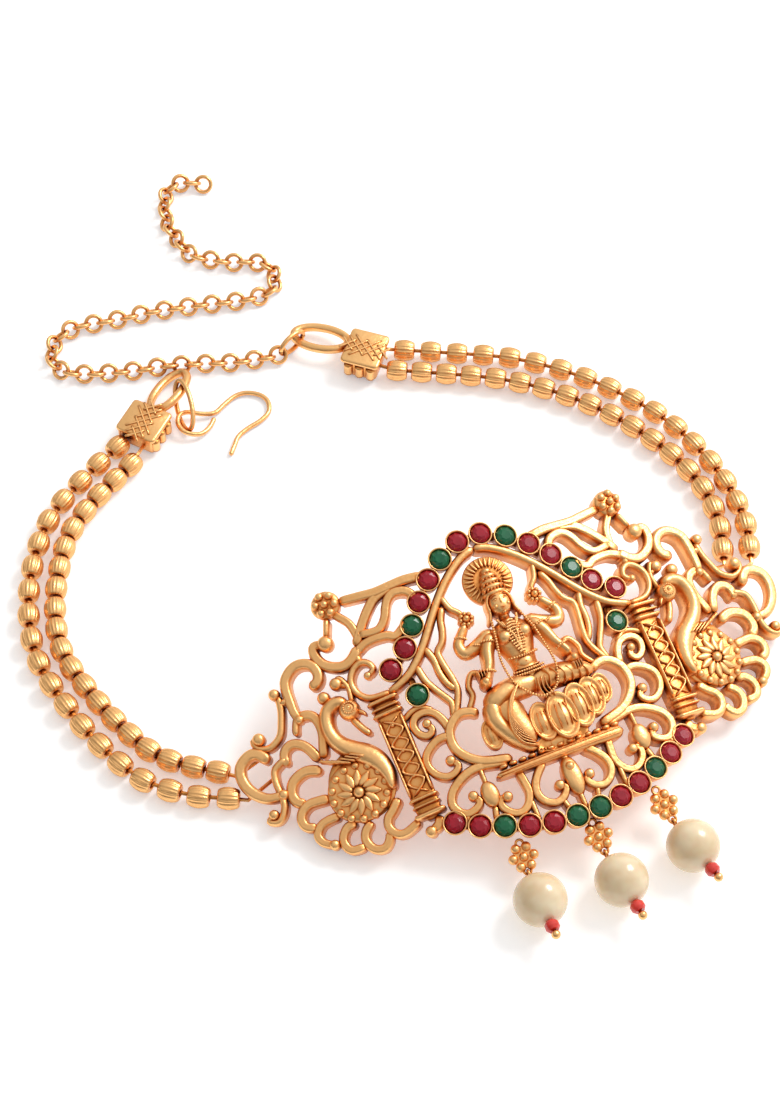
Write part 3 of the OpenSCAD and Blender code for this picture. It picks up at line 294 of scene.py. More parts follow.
class Sketch:
    """Collects closed shells of rings, with the height of each point in front of the plate's face, which the
    carved gold turns into painted shade.
    """

    def __init__(self) -> None:
        """Starts empty."""
        self.points: list[np.ndarray] = []
        self.faces: list[list[int]] = []
        self.heights: list[float] = []

    def shell(self, rings: Sequence[Sequence[np.ndarray]], heights: Sequence[Sequence[float]] | None = None,
              closed: bool = False) -> None:
        """Adds one shell.

        Args:
            rings: rings of points in millimetres, all of one length.
            heights: the height of each point in front of the face, or none for metal off the plate.
            closed: whether the last ring joins the first.
        """
        base, m, n = len(self.points), len(rings[0]), len(rings)
        for k, ring in enumerate(rings):
            self.points.extend(ring)
            self.heights.extend(heights[k] if heights is not None else [0.6] * m)
        for k in range(n if closed else n - 1):
            q = (k + 1) % n
            here, there = base + k * m, base + q * m
            self.faces.extend([here + j, here + (j + 1) % m, there + (j + 1) % m, there + j] for j in range(m))
        if not closed:
            self.faces.append([base + j for j in range(m)][::-1])
            self.faces.append([base + (n - 1) * m + j for j in range(m)])

    def sweep(self, path: np.ndarray, width: float | Sequence[float], crown: float | Sequence[float],
              back: float = 2.5, profile: Profile = Profile.ROD, count: int = 9) -> None:
        """Adds a strip that follows a path on the plate, with rounded ends.

        Args:
            path: points across and up the plate.
            width: its width, or one for each point.
            crown: its height in front of the face, or one for each point.
            back: depth behind the face.
            profile: shape of the section.
            count: points over the front of the section.
        """
        run, ways = run_length(path), headings(path)
        width, crown = (np.broadcast_to(value, len(path)) for value in (width, crown))
        rings, heights = [], []
        for k, (s, t) in enumerate(path):
            half = width[k] / 2
            near = min(min(run[k], run[-1] - run[k]) / half, 1.0)
            end = max(0.3, math.sqrt(1 - (1 - near) ** 2))
            deep = max(back - 1.2 * min(max((abs(s) - 41) / 3, 0), 1), 0.2)
            ring = []
            for a in np.linspace(0, math.pi, count):
                x = half * end * math.cos(a)
                lift = math.sin(a) ** (0.45 if profile is Profile.BAND else 0.9)
                h = -0.5 + (crown[k] + 0.5) * lift * (0.4 + 0.6 * end)
                if profile is Profile.RIBBON:
                    h -= 0.28 * math.exp(-(x / (0.36 * half)) ** 2)
                ring.append((x, h))
            ring += [(-half * end * 0.9, -deep), (half * end * 0.9, -deep)]
            rings.append([PLATE.point(s - ways[k][1] * x, t + ways[k][0] * x, h) for x, h in ring])
            heights.append([h for _, h in ring])
        self.shell(rings, heights)

    def dome(self, at: Sequence[float], radii: Sequence[float], top: float, back: float = 2.5, sides: int = 20,
             rows: Sequence[Sequence[float]] = ROUND, foot: float = -0.3) -> None:
        """Adds a round boss.

        Args:
            at: its centre across and up the plate.
            radii: its radii across and up.
            top: its height in front of the face.
            back: its depth behind the face.
            sides: points round it.
            rows: shares of the radius and of the height, from its foot to its top.
            foot: the height where its rounding begins.
        """
        rings, heights = [], []
        for share, h in [(0.9, -back)] + [(r, foot + (top - foot) * u) for r, u in rows]:
            rings.append([PLATE.point(at[0] + radii[0] * share * math.cos(a),
                                      at[1] + radii[1] * share * math.sin(a), h) for a in turns(sides)])
            heights.append([h] * sides)
        self.shell(rings, heights)

    def limb(self, rows: Points, count: int = 14) -> None:
        """Adds a rounded limb of the figure.

        Args:
            rows: across, up, width and height in front of the face, from one end to the other.
            count: points round its section.
        """
        p = smooth(rows, 5)
        ways = headings(p[:, :2])
        run = run_length(p[:, :2])
        rings, heights = [], []
        for k, (s, t, w, f) in enumerate(p):
            near = min(min(run[k], run[-1] - run[k]) / (w / 2), 1.0)
            end = max(0.35, math.sqrt(1 - (1 - near) ** 2))
            front = f * (0.5 + 0.5 * end)
            sec = [(w / 2 * end * math.cos(a), math.sin(a) * (front if math.sin(a) > 0 else 1.3))
                   for a in turns(count)]
            rings.append([PLATE.point(s - ways[k][1] * x, t + ways[k][0] * x, h) for x, h in sec])
            heights.append([h for _, h in sec])
        self.shell(rings, heights)

    def tube(self, path: np.ndarray, radius: float, sides: int = 12, closed: bool = False) -> None:
        """Adds a round wire.

        Args:
            path: its points in the armlet's frame, in millimetres.
            radius: its radius.
            sides: points round it.
            closed: whether its ends meet.
        """
        d = np.roll(path, -1, 0) - np.roll(path, 1, 0) if closed else headings(path)
        rings = []
        up = np.array([0.0, 0.0, 1.0])
        for k, p in enumerate(path):
            way = unit(d[k])
            side = np.cross(way, up)
            side = unit(side if np.linalg.norm(side) > 1e-3 else np.cross(way, [1.0, 0.0, 0.0]))
            over = np.cross(side, way)
            rings.append([p + radius * (side * math.cos(a) + over * math.sin(a))
                          for a in turns(sides)])
        self.shell(rings, None, closed)

    def ball(self, at: np.ndarray, radius: float, height: float = 0.8, sides: int = 12) -> None:
        """Adds a small ball.

        Args:
            at: its middle in the armlet's frame, in millimetres.
            radius: its radius.
            height: the height in front of the face that its finish reads.
            sides: points round it.
        """
        rings = [[at + radius * np.array([math.sin(b) * math.cos(a), math.sin(b) * math.sin(a), math.cos(b)])
                  for a in turns(sides)]
                 for b in np.linspace(0.06, math.pi - 0.06, 8)]
        self.shell(rings, [[height] * sides] * len(rings))

    def piece(self, name: str, finish: bpy.types.Material, nodes: Sequence[str] = (),
              flat: bool = False) -> bpy.types.Object:
        """Turns the sketch into a piece of the object.

        Args:
            name: the piece's name.
            finish: its material.
            nodes: the solids that it stands for.
            flat: whether its faces stay flat.

        Returns:
            The new object, riding on the root.
        """
        obj = self.raw(name, finish, flat)
        settle(obj, nodes)
        return obj

    def raw(self, name: str, finish: bpy.types.Material | None, flat: bool = False) -> bpy.types.Object:
        """Turns the sketch into an object that isn't reported yet.

        Args:
            name: the object's name.
            finish: its material, or none for a shape that a node tree repeats.
            flat: whether its faces stay flat.

        Returns:
            The new object.
        """
        mesh = bpy.data.meshes.new(name)
        mesh.from_pydata([tuple(p * MM) for p in self.points], [], self.faces)
        bm = bmesh.new()
        bm.from_mesh(mesh)
        bmesh.ops.recalc_face_normals(bm, faces=bm.faces)
        for face in bm.faces:
            face.smooth = not flat
        bm.to_mesh(mesh)
        bm.free()
        # The height goes on as 'rise'; the carved gold paints shade by it, darker on low points and backs.
        layer = mesh.attributes.new("rise", "FLOAT", "POINT")
        layer.data.foreach_set("value", np.array(self.heights, np.float32))
        if finish is not None:
            mesh.materials.append(finish)
        obj = bpy.data.objects.new(name, mesh)
        bpy.context.scene.collection.objects.link(obj)
        return obj


def settle(obj: bpy.types.Object, nodes: Sequence[str] = ()) -> None:
    """Reports a finished piece.

    Args:
        obj: the piece, which rides on the root.
        nodes: the solids that it stands for.
    """
    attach(obj, "root")
    if nodes:
        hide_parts(*nodes)
    LOG.info("%s: %d faces", obj.name, len(obj.data.polygons))


@dataclass
class Repeater:
    """Sets a small shape on every point of a row with a node tree."""

    kind: Repeat
    finish: bpy.types.Material

    def tree(self) -> tuple[bpy.types.NodeTree, dict[str, str]]:
        """Builds the node tree.

        Returns:
            The tree, and the identifier of each named input.
        """
        tree = bpy.data.node_groups.new(self.kind.value, "GeometryNodeTree")
        face = tree.interface
        names = {}
        for label, kind in (("Geometry", "NodeSocketGeometry"), ("Shape", "NodeSocketObject"),
                            ("Size", "NodeSocketFloat"), ("Finish", "NodeSocketMaterial")):
            names[label] = face.new_socket(label, in_out="INPUT", socket_type=kind).identifier
        face.new_socket("Geometry", in_out="OUTPUT", socket_type="NodeSocketGeometry")
        start, end = tree.nodes.new("NodeGroupInput"), tree.nodes.new("NodeGroupOutput")
        shape = tree.nodes.new("GeometryNodeObjectInfo")
        place = tree.nodes.new("GeometryNodeInstanceOnPoints")
        real = tree.nodes.new("GeometryNodeRealizeInstances")
        paint = tree.nodes.new("GeometryNodeSetMaterial")
        turned = None
        for name, axis, pivot in (("way", "Z", "AUTO"), ("out", "X", "Z")):
            read = tree.nodes.new("GeometryNodeInputNamedAttribute")
            read.data_type = "FLOAT_VECTOR"
            read.inputs["Name"].default_value = name
            turn = tree.nodes.new("FunctionNodeAlignRotationToVector")
            turn.axis, turn.pivot_axis = axis, pivot
            tree.links.new(read.outputs["Attribute"], turn.inputs["Vector"])
            if turned is not None:
                tree.links.new(turned.outputs["Rotation"], turn.inputs["Rotation"])
            turned = turn
        link = tree.links.new
        link(start.outputs["Shape"], shape.inputs["Object"])
        link(start.outputs["Geometry"], place.inputs["Points"])
        link(shape.outputs["Geometry"], place.inputs["Instance"])
        link(turned.outputs["Rotation"], place.inputs["Rotation"])
        link(start.outputs["Size"], place.inputs["Scale"])
        link(place.outputs["Instances"], real.inputs["Geometry"])
        link(real.outputs["Geometry"], paint.inputs["Geometry"])
        link(start.outputs["Finish"], paint.inputs["Material"])
        link(paint.outputs["Geometry"], end.inputs["Geometry"])
        return tree, names

    def row(self, name: str, shape: bpy.types.Object, at: Sequence[np.ndarray], way: Sequence[np.ndarray],
            out: Sequence[np.ndarray] | None = None) -> bpy.types.Object:
        """Sets the shape on every point and turns the result into a plain mesh.

        Args:
            name: the new piece's name.
            shape: the small shape, with its axis along Z and its outer end along X.
            at: the points, in millimetres.
            way: where the shape's Z axis looks at each point.
            out: where its X axis looks, if that matters.

        Returns:
            The new object, not reported yet.
        """
        holder = bpy.data.meshes.new(name + "_places")
        holder.from_pydata([tuple(np.asarray(p) * MM) for p in at], [], [])
        if out is None:
            out = [np.cross(w, [0.31, 0.57, 0.76]) for w in way]
        for label, rows in (("way", way), ("out", out)):
            layer = holder.attributes.new(label, "FLOAT_VECTOR", "POINT")
            units = np.array([unit(np.asarray(r, float)) for r in rows], np.float32)
            layer.data.foreach_set("vector", units.ravel())
        places = bpy.data.objects.new(name + "_places", holder)
        bpy.context.scene.collection.objects.link(places)
        tree, names = self.tree()
        mod = places.modifiers.new(self.kind.value, "NODES")
        mod.node_group = tree
        mod[names["Shape"]], mod[names["Size"]], mod[names["Finish"]] = shape, 1.0, self.finish
        bpy.context.view_layer.update()
        done = places.evaluated_get(bpy.context.evaluated_depsgraph_get())
        mesh = bpy.data.meshes.new_from_object(done)
        mesh.name = name
        obj = bpy.data.objects.new(name, mesh)
        bpy.context.scene.collection.objects.link(obj)
        bpy.data.objects.remove(places)
        bpy.data.objects.remove(shape)
        return obj


class ShaderValue:
    """A socket that Python's operators work on; each operator adds its Math node."""

    def __init__(self, tree: bpy.types.NodeTree, socket: bpy.types.NodeSocket) -> None:
        """Wraps a socket of a tree."""
        self.tree, self.socket = tree, socket

    def _math(self, operation: str, a: ShaderValue | float, b: ShaderValue | float) -> ShaderValue:
        """Adds one Math node.

        Args:
            operation: what it does.
            a: its first value, a socket or a number.
            b: its second value.

        Returns:
            Its result.
        """
        node = self.tree.nodes.new("ShaderNodeMath")
        node.operation = operation
        for socket, value in zip(node.inputs, (a, b)):
            if isinstance(value, ShaderValue):
                self.tree.links.new(value.socket, socket)
            else:
                socket.default_value = value
        return ShaderValue(self.tree, node.outputs[0])

    def __add__(self, other: ShaderValue | float) -> ShaderValue:
        """Adds."""
        return self._math("ADD", self, other)

    def __sub__(self, other: ShaderValue | float) -> ShaderValue:
        """Takes away."""
        return self._math("SUBTRACT", self, other)

    def __rsub__(self, other: float) -> ShaderValue:
        """Takes this value away from a number."""
        return self._math("SUBTRACT", other, self)

    def __mul__(self, other: ShaderValue | float) -> ShaderValue:
        """Multiplies."""
        return self._math("MULTIPLY", self, other)

    __radd__, __rmul__ = __add__, __mul__


class Finish:
    """One material being built."""

    def __init__(self, name: str) -> None:
        """Starts a material with a plain surface shader.

        Args:
            name: the material's name.
        """
        self.material = bpy.data.materials.new(name)
        self.material.use_nodes = True
        self.tree = self.material.node_tree
        self.shader = self.tree.nodes["Principled BSDF"]

    def add(self, kind: str, settings: dict[str, object] | None = None, **sockets: object) -> bpy.types.Node:
        """Adds a node.

        Args:
            kind: the node's type.
            settings: its own settings, which are set first; a ramp's stops are a list of (place, colour).
            **sockets: values or links of its inputs, with _ for a blank.

        Returns:
            The node.
        """
        node = self.tree.nodes.new(kind)
        for key, value in (settings or {}).items():
            if key == "stops":
                ramp = node.color_ramp
                for i, (place, colour) in enumerate(value):
                    stop = ramp.elements[i] if i < len(ramp.elements) else ramp.elements.new(place)
                    stop.position, stop.color = place, (*colour, 1.0)
            else:
                setattr(node, key, value)
        for key, value in sockets.items():
            socket = node.inputs[int(key[1:]) if key[0] == "n" and key[1:].isdigit() else key.replace("_", " ")]
            if isinstance(value, ShaderValue):
                self.tree.links.new(value.socket, socket)
            elif isinstance(value, bpy.types.NodeSocket):
                self.tree.links.new(value, socket)
            else:
                socket.default_value = value
        return node

    def value(self, socket: bpy.types.NodeSocket) -> ShaderValue:
        """Wraps a socket for the operators."""
        return ShaderValue(self.tree, socket)

    def place(self) -> bpy.types.NodeSocket:
        """Returns the place on the object."""
        return self.add("ShaderNodeTexCoord").outputs["Object"]

    def noise(self, scale: float, detail: float = 3.0) -> ShaderValue:
        """Returns a noise of so many cells a metre."""
        node = self.add("ShaderNodeTexNoise", None, Vector=self.place(), Scale=scale, Detail=detail)
        return self.value(node.outputs["Fac"])

    def mix(self, share: ShaderValue, low: Sequence[float], high: object) -> bpy.types.NodeSocket:
        """Mixes two colours.

        Args:
            share: how much of the second one shows.
            low: the first colour.
            high: the second colour, or a socket that gives it.

        Returns:
            The socket of the result.
        """
        node = self.add("ShaderNodeMix", {"data_type": "RGBA"})
        self.tree.links.new(share.socket, node.inputs["Factor"])
        colours = [s for s in node.inputs if s.type == "RGBA"]
        for socket, colour in zip(colours, (low, high)):
            if isinstance(colour, bpy.types.NodeSocket):
                self.tree.links.new(colour, socket)
            else:
                socket.default_value = (*colour, 1.0)
        return next(s for s in node.outputs if s.type == "RGBA")

    def bump(self, height: ShaderValue, strength: float, distance: float) -> None:
        """Lets a height raise the surface a little."""
        node = self.add("ShaderNodeBump", None, Strength=strength, Distance=distance, Height=height)
        self.tree.links.new(node.outputs["Normal"], self.shader.inputs["Normal"])

    def set(self, **values: object) -> None:
        """Sets the shader's own sockets.

        Args:
            **values: numbers, colours or links by the socket's name, with _ for a blank.
        """
        for key, value in values.items():
            socket = self.shader.inputs[key.replace("_", " ")]
            if isinstance(value, (ShaderValue, bpy.types.NodeSocket)):
                self.tree.links.new(getattr(value, "socket", value), socket)
            elif isinstance(value, tuple):
                socket.default_value = (*value, 1.0)
            else:
                socket.default_value = value


@dataclass(frozen=True)
class AntiqueGold:
    """Matte old gold with red-brown painted shade in its recesses and a pale painted highlight on its open
    tops.
    """

    # Ramp colours: a pale painted highlight for open tops, the gold's own colour, and red-brown painted shade
    # for recesses and hidden sides.
    painted_highlight: tuple[float, float, float] = (1.0, 0.57, 0.23)
    mid: tuple[float, float, float] = (0.84, 0.315, 0.07)
    deep: tuple[float, float, float] = (0.20, 0.034, 0.007)
    roughness: float = 0.36
    # reach: how far the ambient occlusion behind the painted shade looks, in millimetres.
    reach: float = 1.6

    def build(self, name: str, carved: bool) -> bpy.types.Material:
        """Builds the material.

        Args:
            name: its name.
            carved: whether the colour also darkens with less height in front of the plate, as painted shade on
                low parts, sides and backs.

        Returns:
            The material.
        """
        f = Finish(name)
        # Painted shade: ambient occlusion darkens the base colour in recesses and where parts touch; the noise
        # added to it is real wear.
        shade = f.add("ShaderNodeAmbientOcclusion", {"samples": 8}, Distance=self.reach * MM)
        ao_painted_shade = f.value(shade.outputs["AO"])
        worn = f.noise(420.0) * 0.30 + f.noise(2400.0, 2.0) * 0.12
        painted_shade_and_wear = ao_painted_shade * 1.25 + worn - 0.46
        if carved:
            # Painted shade by height: lower points, sides and backs get darker colour, open tops lighter.
            rise = f.value(f.add("ShaderNodeAttribute", {"attribute_name": "rise"}).outputs["Fac"])
            painted_shade_and_wear = painted_shade_and_wear * 0.72 + rise * 0.10 + 0.17
        # From the red-brown painted shade through the gold's own colour to the pale painted highlight.
        stops = [(0.12, self.deep), (0.55, self.mid), (0.95, self.painted_highlight)]
        ramp = f.add("ShaderNodeValToRGB", {"stops": stops}, Fac=painted_shade_and_wear)
        f.set(Base_Color=ramp.outputs["Color"], Metallic=1.0, Roughness=worn * 0.35 + (self.roughness - 0.07))
        f.bump(f.noise(1700.0, 4.0), 0.4, 0.00016)
        return f.material


@dataclass(frozen=True)
class CutStone:
    """A glassy cut stone, its colour varying at random between a dark and a bright tone."""

    bright: tuple[float, float, float]
    dark: tuple[float, float, float]

    def build(self, name: str) -> bpy.types.Material:
        """Builds the material.

        Args:
            name: its name.

        Returns:
            The material.
        """
        f = Finish(name)
        f.set(Base_Color=f.mix(f.noise(700.0, 2.0), self.dark, self.bright), Roughness=0.22, IOR=1.45,
              Coat_Weight=0.15)
        return f.material


@dataclass(frozen=True)
class PearlLustre:
    """A cream pearl with a soft coat, with patches of painted gold reflection in its colour."""

    light: tuple[float, float, float] = (0.90, 0.76, 0.52)
    painted_gold_reflection: tuple[float, float, float] = (0.66, 0.44, 0.22)

    def build(self, name: str) -> bpy.types.Material:
        """Builds the material.

        Args:
            name: its name.

        Returns:
            The material.
        """
        f = Finish(name)
        # Painted reflection: noise patches tint the cream towards the warm gold-brown of the metal around it.
        painted_reflection_patches = f.noise(260.0, 2.0)
        f.set(Base_Color=f.mix(painted_reflection_patches * 1.5 - 0.35, self.light, self.painted_gold_reflection), Roughness=0.24, Coat_Weight=0.5,
              Coat_Roughness=0.12, Subsurface_Weight=0.15, Subsurface_Scale=0.001)
        f.bump(f.noise(500.0), 0.08, 0.0002)
        return f.material


@dataclass(frozen=True)
class CoralGlass:
    """A translucent coral-red bead."""

    bright: tuple[float, float, float] = (0.85, 0.055, 0.03)
    dark: tuple[float, float, float] = (0.55, 0.015, 0.012)

    def build(self, name: str) -> bpy.types.Material:
        """Builds the material.

        Args:
            name: its name.

        Returns:
            The material.
        """
        f = Finish(name)
        f.set(Base_Color=f.mix(f.noise(900.0, 2.0), self.dark, self.bright), Roughness=0.15, Coat_Weight=0.6,
              Subsurface_Weight=0.3, Subsurface_Scale=0.0008)
        return f.material


@dataclass
class Workshop:
    """The finishes of the armlet."""

    carved: bpy.types.Material = field(default_factory=lambda: AntiqueGold().build("gold_carved", True))
    plain: bpy.types.Material = field(
        default_factory=lambda: AntiqueGold(mid=(0.86, 0.34, 0.08), roughness=0.30).build("gold_plain", False))
    beads: bpy.types.Material = field(
        default_factory=lambda: AntiqueGold(mid=(0.86, 0.345, 0.09), roughness=0.32, reach=0.9).build(
            "gold_beads", False))
    ruby: bpy.types.Material = field(
        default_factory=lambda: CutStone((0.46, 0.002, 0.02), (0.20, 0.0, 0.008)).build("ruby_cut"))
    emerald: bpy.types.Material = field(
        default_factory=lambda: CutStone((0.0, 0.16, 0.055), (0.0, 0.05, 0.02)).build("emerald_cut"))
    pearl: bpy.types.Material = field(default_factory=lambda: PearlLustre().build("pearl_lustre"))
    coral: bpy.types.Material = field(default_factory=lambda: CoralGlass().build("coral_glass"))


@dataclass
class Scrollwork:
    """The pierced scrolls of the plate, its arch rod and the strips behind the stones."""

    shop: Workshop
    channel_from: float = 0.95
    fullness: float = 1.32
    flower: tuple[float, float] = (24.0, 26.3)
    petal_off: float = 1.45

    def build(self) -> None:
        """Builds both halves in one piece."""
        work = Sketch()
        for i, (width, crown, knob, points) in enumerate(SCROLLS):
            for side in SIDES:
                path = smooth([[side * s, t] for s, t in points], 5)
                n = len(path)
                kind = Profile.RIBBON if width >= self.channel_from and i else Profile.ROD
                taper = np.interp(np.arange(n), [0, n * 0.7, n], [1.05, 1.0, 0.8 if knob else 0.95])
                step = (i % 4) * 0.12
                work.sweep(path, width * self.fullness * taper, crown + 0.1 - step * 0.5, 2.5 - step, kind)
                if knob:
                    work.dome(path[-1], (knob * 0.92, knob * 0.92), knob * 0.75 + 0.1, 1.6)
        for side in SIDES:
            work.dome((side * 36.3, 16.9), (0.9, 0.9), 0.9, 2.2)
            s, t = side * self.flower[0], self.flower[1]
            work.dome((s, t), (2.3, 2.2), 0.5, 2.4)
            for k in range(6):
                a = math.radians(60 * k + 15)
                petal = (s + side * self.petal_off * math.cos(a), t + self.petal_off * math.sin(a))
                work.dome(petal, (0.75, 0.75), 1.05, 0.5)
            work.dome((s, t), (0.7, 0.7), 1.35, 0.5)
            work.dome((side * 12.4, -10), (1.4, 2.1), 0.8, 2.3)
            work.dome((side * 22.5, -11.6), (0.9, 0.9), 0.6, 2.3)
            work.sweep(straight([side * 16.5, 5.5], [side * 16.5, 11.2], 8), 1.1, -0.9, 2.5)
        for path, width, crown in (([[0, -8], [0, -10]], 1.2, 0.4), ([[0, -14], [0, -17.4]], 0.9, 0.2)):
            work.sweep(straight(*path, 8), width, crown)
        work.dome((0, -12), (1.5, 3.2), 0.9, 2.5)
        work.dome((0, -10.6), (0.8, 0.8), 1.3, 0.5)
        work.piece("scrollwork", self.shop.carved, ["casting"])
        strips = Sketch()
        for rows in (STONES[:7], STONES[8:]):
            half = sorted([(s, t) for s, t, *_ in rows])
            path = smooth([(-s, t) for s, t in reversed(half)] + half, 5)
            strips.sweep(path, 0.95, -0.85, 2.65)
        strips.piece("stone_strips", self.shop.carved)


@dataclass
class Pillars:
    """The two carved pillars beside the arch."""

    shop: Workshop
    across: float = 21.6
    rail_off: float = 1.72
    lattice_off: float = 1.3
    lattice_pitch: float = 2.05

    def build(self) -> None:
        """Builds shafts, mouldings and lattice."""
        work = Sketch()
        for side in SIDES:
            shaft = straight([side * self.across, 9.9], [side * self.across, -9.95], 30)
            work.sweep(shaft, 4.0, 0.35, 2.45, Profile.BAND, 11)
            for edge in (-1, 1):
                middle = side * self.across
                rail = straight([middle + edge * self.rail_off, 6.6], [middle + edge * self.rail_off, -6], 24)
                work.sweep(rail, 0.62, 0.95, 1.0)
                lattice = smooth([[middle + edge * (self.lattice_off if k % 2 else -self.lattice_off),
                                   6.3 - self.lattice_pitch * k] for k in range(7)], 5)
                work.sweep(lattice, 0.6, 0.85 + 0.12 * edge, 0.8)
            for k in range(3):
                work.dome((side * self.across, 5.15 - 2 * self.lattice_pitch * k), (0.42, 0.42), 0.9, 0.2, 12)
            for t, width, size in ((9.25, 4.9, 0.95), (8.1, 4.5, 0.6), (7.2, 4.7, 0.85), (-6.6, 4.6, 0.85),
                                   (-7.7, 4.4, 0.6), (-9.1, 5.0, 1.1)):
                bar = straight([side * (self.across - width / 2), t], [side * (self.across + width / 2), t], 14)
                work.sweep(bar, size, 1.25, 1.7)
        work.piece("pillars", self.shop.carved)


@dataclass
class Peacocks:
    """The two peacocks with their rosettes."""

    shop: Workshop
    eye: tuple[float, float] = (26.5, 10.1)
    rosette: tuple[float, float] = (30.0, -2.0)
    neck: tuple[tuple[float, float, float], ...] = (
        (26.6, 11.2, 1.8), (28.2, 11.8, 2.3), (29.8, 11.2, 2.4), (30.6, 9.5, 2.4), (30.6, 7.5, 2.5),
        (29.9, 5.8, 2.8), (28.5, 4.2, 3.2), (26.8, 2.7, 3.5), (25.6, 1.0, 3.2), (25.0, -1.2, 2.4),
        (25.2, -3.6, 1.2))

    def build(self) -> None:
        """Builds bodies, then the petals of the rosettes."""
        work = Sketch()
        petals: list[tuple[np.ndarray, np.ndarray, np.ndarray]] = []
        grains: list[tuple[np.ndarray, np.ndarray]] = []
        (eye_s, eye_t), (mid_s, mid_t) = self.eye, self.rosette
        for side in SIDES:
            curve = smooth([[side * s, t, w] for s, t, w in self.neck], 5)
            work.sweep(curve[:, :2], curve[:, 2], 1.35, 2.4, Profile.ROD, 13)
            work.dome((side * 26.7, 10), (1.65, 1.6), 1.75, 2.2, 24)
            work.dome((side * eye_s, eye_t), (0.55, 0.55), 2.1, -1.0, 16)
            for a in turns(16):
                s, t = side * (eye_s + 0.85 * math.cos(a)), eye_t + 0.85 * math.sin(a)
                grains.append((PLATE.point(s, t, 1.62), PLATE.normal(s, t)))
            beak = smooth([[side * 25.6, 9.4, 1.0], [side * 24.9, 8.8, 0.7], [side * 24.6, 8.1, 0.35]], 4)
            work.sweep(beak[:, :2], beak[:, 2], 1.0, 0.6)
            work.dome((side * 29.9, -1.7), (4.95, 4.75), 0.45, 2.5, 40,
                      ((1, 0), (0.98, 0.6), (0.93, 0.95), (0.7, 1.0), (0.4, 1.0), (0.05, 1.0)))
            work.dome((side * mid_s, mid_t), (1.0, 1.0), 1.45, 0.2, 20)
            for a in turns(14):
                s, t = side * (mid_s + 4.15 * math.cos(a)), mid_t + 0.05 + 4.0 * math.sin(a)
                work.dome((s, t), (0.72, 0.72), 0.85, 0.3, 12)
            for a in turns(12):
                s, t = side * (mid_s + math.cos(a)), mid_t + math.sin(a)
                far = (side * (mid_s + 3.0 * math.cos(a + 0.28)), mid_t + 3.0 * math.sin(a + 0.28))
                root = PLATE.point(s, t, 0.55)
                petals.append((root, PLATE.normal(s, t), PLATE.point(*far, 0.55) - root))
            work.dome((side * 29.2, -0.9), (5.1, 5.5), 0.1, 2.3, 40)
            for k in range(7):
                s, t = 32.6 - 0.75 * k, 3.3 - 0.15 * k + 0.18 * abs(k - 3)
                feather = smooth([[side * (s + 1.2), t + 0.9], [side * s, t + 0.2],
                                  [side * (s - 1.0), t - 0.4]], 4)
                work.sweep(feather, 0.62, 0.9 + 0.12 * k, 0.6)
        work.piece("peacocks", self.shop.carved)
        leaf = petal_shape(2.5, 0.62, 0.55)
        row = Repeater(Repeat.PETAL, self.shop.carved).row("rosette_petals", leaf, *map(list, zip(*petals)))
        settle(row)
        bead = grain_shape(0.17)
        eyes = Repeater(Repeat.GRAIN, self.shop.carved).row("eye_grains", bead, *map(list, zip(*grains)))
        settle(eyes)


def petal_shape(length: float, half: float, height: float) -> bpy.types.Object:
    """Builds one raised petal along X on the XY plane.

    Args:
        length: its length.
        half: half its greatest width.
        height: its height.

    Returns:
        The shape's object.
    """
    work = Sketch()
    rings, highs = [], []
    for u in np.linspace(0.02, 0.98, 9):
        wide = half * math.sin(math.pi * u ** 0.75) ** 0.8 + 0.05
        ring = [np.array([length * u, wide * math.cos(a), height * math.sin(a) * (1 - 0.4 * u)])
                for a in np.linspace(0, math.pi, 7)]
        ring += [np.array([length * u, -wide * 0.8, -0.25]), np.array([length * u, wide * 0.8, -0.25])]
        rings.append(ring)
        highs.append([0.9] * len(ring))
    work.shell(rings, highs)
    return work.raw("petal_shape", None)


def grain_shape(radius: float) -> bpy.types.Object:
    """Builds one small ball with few faces.

    Args:
        radius: its radius.

    Returns:
        The shape's object.
    """
    work = Sketch()
    work.ball(np.zeros(3), radius, 1.6, 8)
    return work.raw("grain_shape", None)


